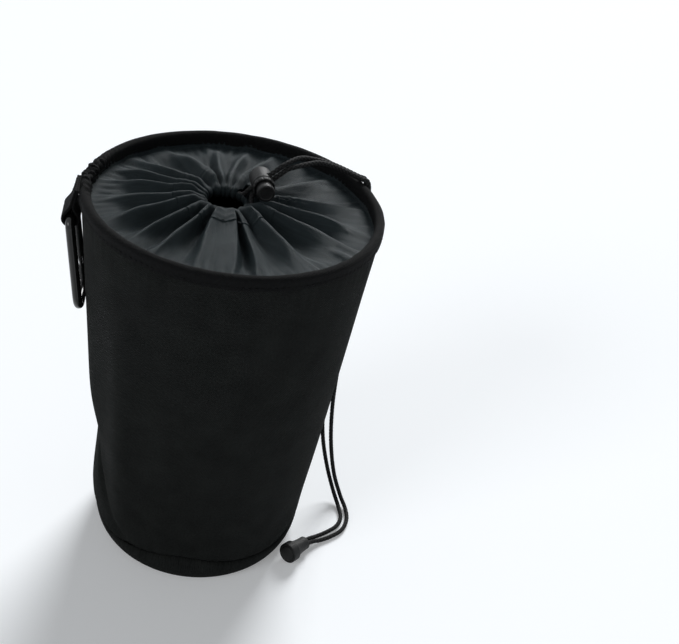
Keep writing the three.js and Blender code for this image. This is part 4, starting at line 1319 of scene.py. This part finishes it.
TONGUE, TONGUE_OVERLAP = 0.002, 0.0016


def on_gate(drop):
    return GATE_LOCAL @ Vector((0, 0, -drop))


print("gate pivot at", [round(x, 4) for x in HOOK_FRAME @ PIVOT])

# %% Hook frame
def rounded_route(corners):
    """Straight runs between corners, each corner rounded over its own distance."""
    line = [corners[0][0]]
    for (place, reach), (following, _) in zip(corners[1:], corners[2:]):
        start = place + (line[-1] - place).normalized() * reach
        end = place + (following - place).normalized() * reach
        line += rounded_corner(start, place, end, BEND_STEPS)
    return line + [corners[-1][0]]


def flatten_tongues(vert):
    """Flatten the bar towards both ends, where the gate closes over it."""
    place = GATE_LOCAL.inverted() @ vert.co
    in_gap = -GATE_REACH - 0.008 < place.z < 0.008
    if in_gap and abs(place.y) < 1.3 * BAR:
        at_pivot = 1 - ease(place.z, 0.0036, 0.0050)
        at_nose = ease(place.z, -GATE_REACH - 0.0052, -GATE_REACH - 0.0032)
        flat = at_pivot if place.z > -GATE_REACH / 2 else at_nose
        place.x *= 1 - flat * (1 - TONGUE / 2 / BAR)
        place.y *= 1 - flat * 0.2
        vert.co = GATE_LOCAL @ place


hook_route = rounded_route([
    (on_gate(TONGUE_OVERLAP), 0),
    (Vector((0, -HALF_TOP, 0)), TOP_BEND),
    (Vector((0, HALF_TOP, 0)), TOP_BEND),
    (Vector((0, HALF_TOP, -HOOK_LENGTH)), BOW_BEND),
    (Vector((0, -HALF_TOP - HOOK_FLARE, -HOOK_LENGTH)), BOW_BEND),
    (on_gate(GATE_REACH - TONGUE_OVERLAP), 0),
])
hook_mesh = close_ends(tube(evenly(hook_route, BAR_STEP), BAR, BAR_SIDES))
for vert in hook_mesh.verts:
    flatten_tongues(vert)
hook_mesh.transform(HOOK_FRAME)
add_piece("hook_bar", hook_mesh, "black_enamel", "hook", "hook_frame")

# %% Hook gate
SLOT = TONGUE / 2 + 0.0003
SLOT_REACH = 0.01
NOTCH = 0.00115

gate_line = [Vector((0, 0, GATE_TAIL)), Vector((0, 0, -GATE_REACH - GATE_TIP))]
gate_mesh = close_ends(tube(gate_line, BAR, BAR_SIDES))
bmesh.ops.bevel(
    gate_mesh, geom=[e for e in gate_mesh.edges if e.calc_face_angle(0) > 1], offset=0.0005,
    offset_type="OFFSET", affect="EDGES", segments=3, profile=0.5, material=-1,
)
gate_mesh = cut_away(
    gate_mesh,
    rounded_block((-SLOT, -SLOT_REACH, -0.0030), (SLOT, SLOT_REACH, 0.02)),
    rounded_block((-SLOT, -SLOT_REACH, -0.05), (SLOT, SLOT_REACH, 0.0026 - GATE_REACH)),
    rounded_block((-SLOT_REACH, -SLOT_REACH, -NOTCH - GATE_REACH), (SLOT_REACH, NOTCH, NOTCH - GATE_REACH)),
)
gate_mesh.transform(HOOK_FRAME @ GATE_LOCAL)
add_piece("gate_bar", gate_mesh, "black_enamel", "gate", "hook_gate")

# %% [markdown]
# ## Seam tapes and hidden steel
# Inside the bag two tapes cover the seams. The lock's spring is a coil of wire built at one length; in the
# real lock it shortens as the button goes in. The wire hoop, the gate's spring and the pins keep their solids
# and take a steel finish.

# %% Seam tapes
TAPE = 0.0014


def tape_line(low, high, gap, count):
    """Radius and height down the inside of the wall, a gap away from it."""
    return [(wall_radius(z) - CLOTH - gap - TAPE / 2, z) for z in spaced(low.z, high.z, count)]


base_tape_mesh = turned(tape_line(*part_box("base_seam_tape"), 0.0006, 6), WALL_STEPS)
unroll(base_tape_mesh, BASE_RADIUS)
base_tape = add_piece("base_tape", base_tape_mesh, "binding_tape", "bag", "base_seam_tape")
thicken(base_tape, TAPE)

side_low, side_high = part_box("side_seam_tape")
side_mesh = strip_mesh(tape_line(side_low, side_high, 0.0009, 40), side_high.x - side_low.x, 10)
side_mesh.transform(Matrix.Rotation(math.radians(SIDE_SEAM), 4, "Z"))
side_tape = add_piece("side_tape", side_mesh, "binding_tape", "bag", "side_seam_tape")
thicken(side_tape, TAPE)

# %% Springs and pins
SPRING_TURNS, SPRING_RADIUS, SPRING_WIRE = 3, 0.0026, 0.00022
SPRING_GAP = 0.0001
SPRING_FOOT, SPRING_HEAD = LOCK_FLOOR + SPRING_GAP, BUTTON_SOLE - SPRING_GAP
COIL_STEPS = 24 * SPRING_TURNS

coil_turns = spaced(0, 2 * math.pi * SPRING_TURNS, COIL_STEPS)
coil_heights = spaced(SPRING_FOOT + SPRING_WIRE, SPRING_HEAD - SPRING_WIRE, COIL_STEPS)
coil_line = [
    Vector((SPRING_RADIUS * math.cos(turn), SPRING_RADIUS * math.sin(turn), height))
    for turn, height in zip(coil_turns, coil_heights)
]
coil_mesh = close_ends(tube(coil_line, SPRING_WIRE, BAR_SIDES))
coil_mesh.transform(LOCK_FRAME)
coil = add_piece("lock_spring_wire", coil_mesh, "spring_steel", "cord_lock", "lock_spring")
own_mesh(coil)

for name in ("rim_hoop", "gate_spring", "gate_plunger", "gate_pivot_pin", "latch_pin"):
    nodes[name].data.materials.clear()
    nodes[name].data.materials.append(finishes["spring_steel"])

# %% [markdown]
# ## The cloth's cut
# The wall is cut as a curved strip, the base as a round, the collar as a straight strip as long as the rim is
# round, and the casing as a narrow one.

# %% [markdown]
# ## Floor and light
# A plain pale floor takes the shadow. A soft sun behind the bag lights the crests of the pleats and leaves
# their hollows dark. A weaker one in front shows the wall, and a dim sky gives an even base level. The
# picture's white ground comes from the kind of ray: floor and sky look brighter to the camera and in
# reflections than they shine on the cloth.

# %% Floor
FLOOR_HALF = 6.0
FLOOR_LIFT = 0.22


def shows_ground(tree):
    """1 for rays that show the ground: from the camera, off a gloss or through glass."""
    rays = add_node(tree, "LightPath").outputs
    straight = calc(tree, "MAXIMUM", rays["Is Camera Ray"], rays["Is Glossy Ray"])
    return calc(tree, "MAXIMUM", straight, rays["Is Transmission Ray"])


floor_mesh = bmesh.new()
bmesh.ops.create_grid(floor_mesh, x_segments=1, y_segments=1, size=FLOOR_HALF)
floor_data = bpy.data.meshes.new("floor")
floor_mesh.to_mesh(floor_data)
floor_mesh.free()
floor = bpy.data.objects.new("floor", floor_data)
scene.collection.objects.link(floor)
tree, shader = start_finish("pale_floor")
dress(
    tree, shader, Base_Color=(0.84, 0.87, 0.90, 1), Roughness=0.9, Specular_IOR_Level=0.1,
    Emission_Color=(1, 1, 1, 1), Emission_Strength=calc(tree, "MULTIPLY", shows_ground(tree), FLOOR_LIFT),
)
floor_data.materials.append(finishes["pale_floor"])
print("floor of", 2 * FLOOR_HALF, "m")

# %% Lamps
SKY_STRENGTH = 0.18
SKY_LIFT = 0.74


def add_sun(name, place, angle, strength):
    """A sun seen in the direction of a place, with a soft edge."""
    lamp = bpy.data.objects.new(name, bpy.data.lights.new(name, "SUN"))
    lamp.data.angle = math.radians(angle)
    lamp.data.energy = strength
    lamp.rotation_euler = (-Vector(place)).to_track_quat("-Z", "Y").to_euler()
    scene.collection.objects.link(lamp)


add_sun("key_sun", (0.20, 0.80, 0.56), 24, 3.4)
add_sun("front_sun", (-0.8, -0.7, 0.55), 24, 0.7)
world = bpy.data.worlds.new("sky")
world.use_nodes = True
tree = world.node_tree
sky = tree.nodes["Background"]
plug(tree, sky.inputs["Color"], (0.93, 0.97, 1.0, 1))
plug(tree, sky.inputs["Strength"], calc(tree, "MULTIPLY_ADD", shows_ground(tree), SKY_LIFT, SKY_STRENGTH))
scene.world = world
print("two suns and a sky of", SKY_STRENGTH)
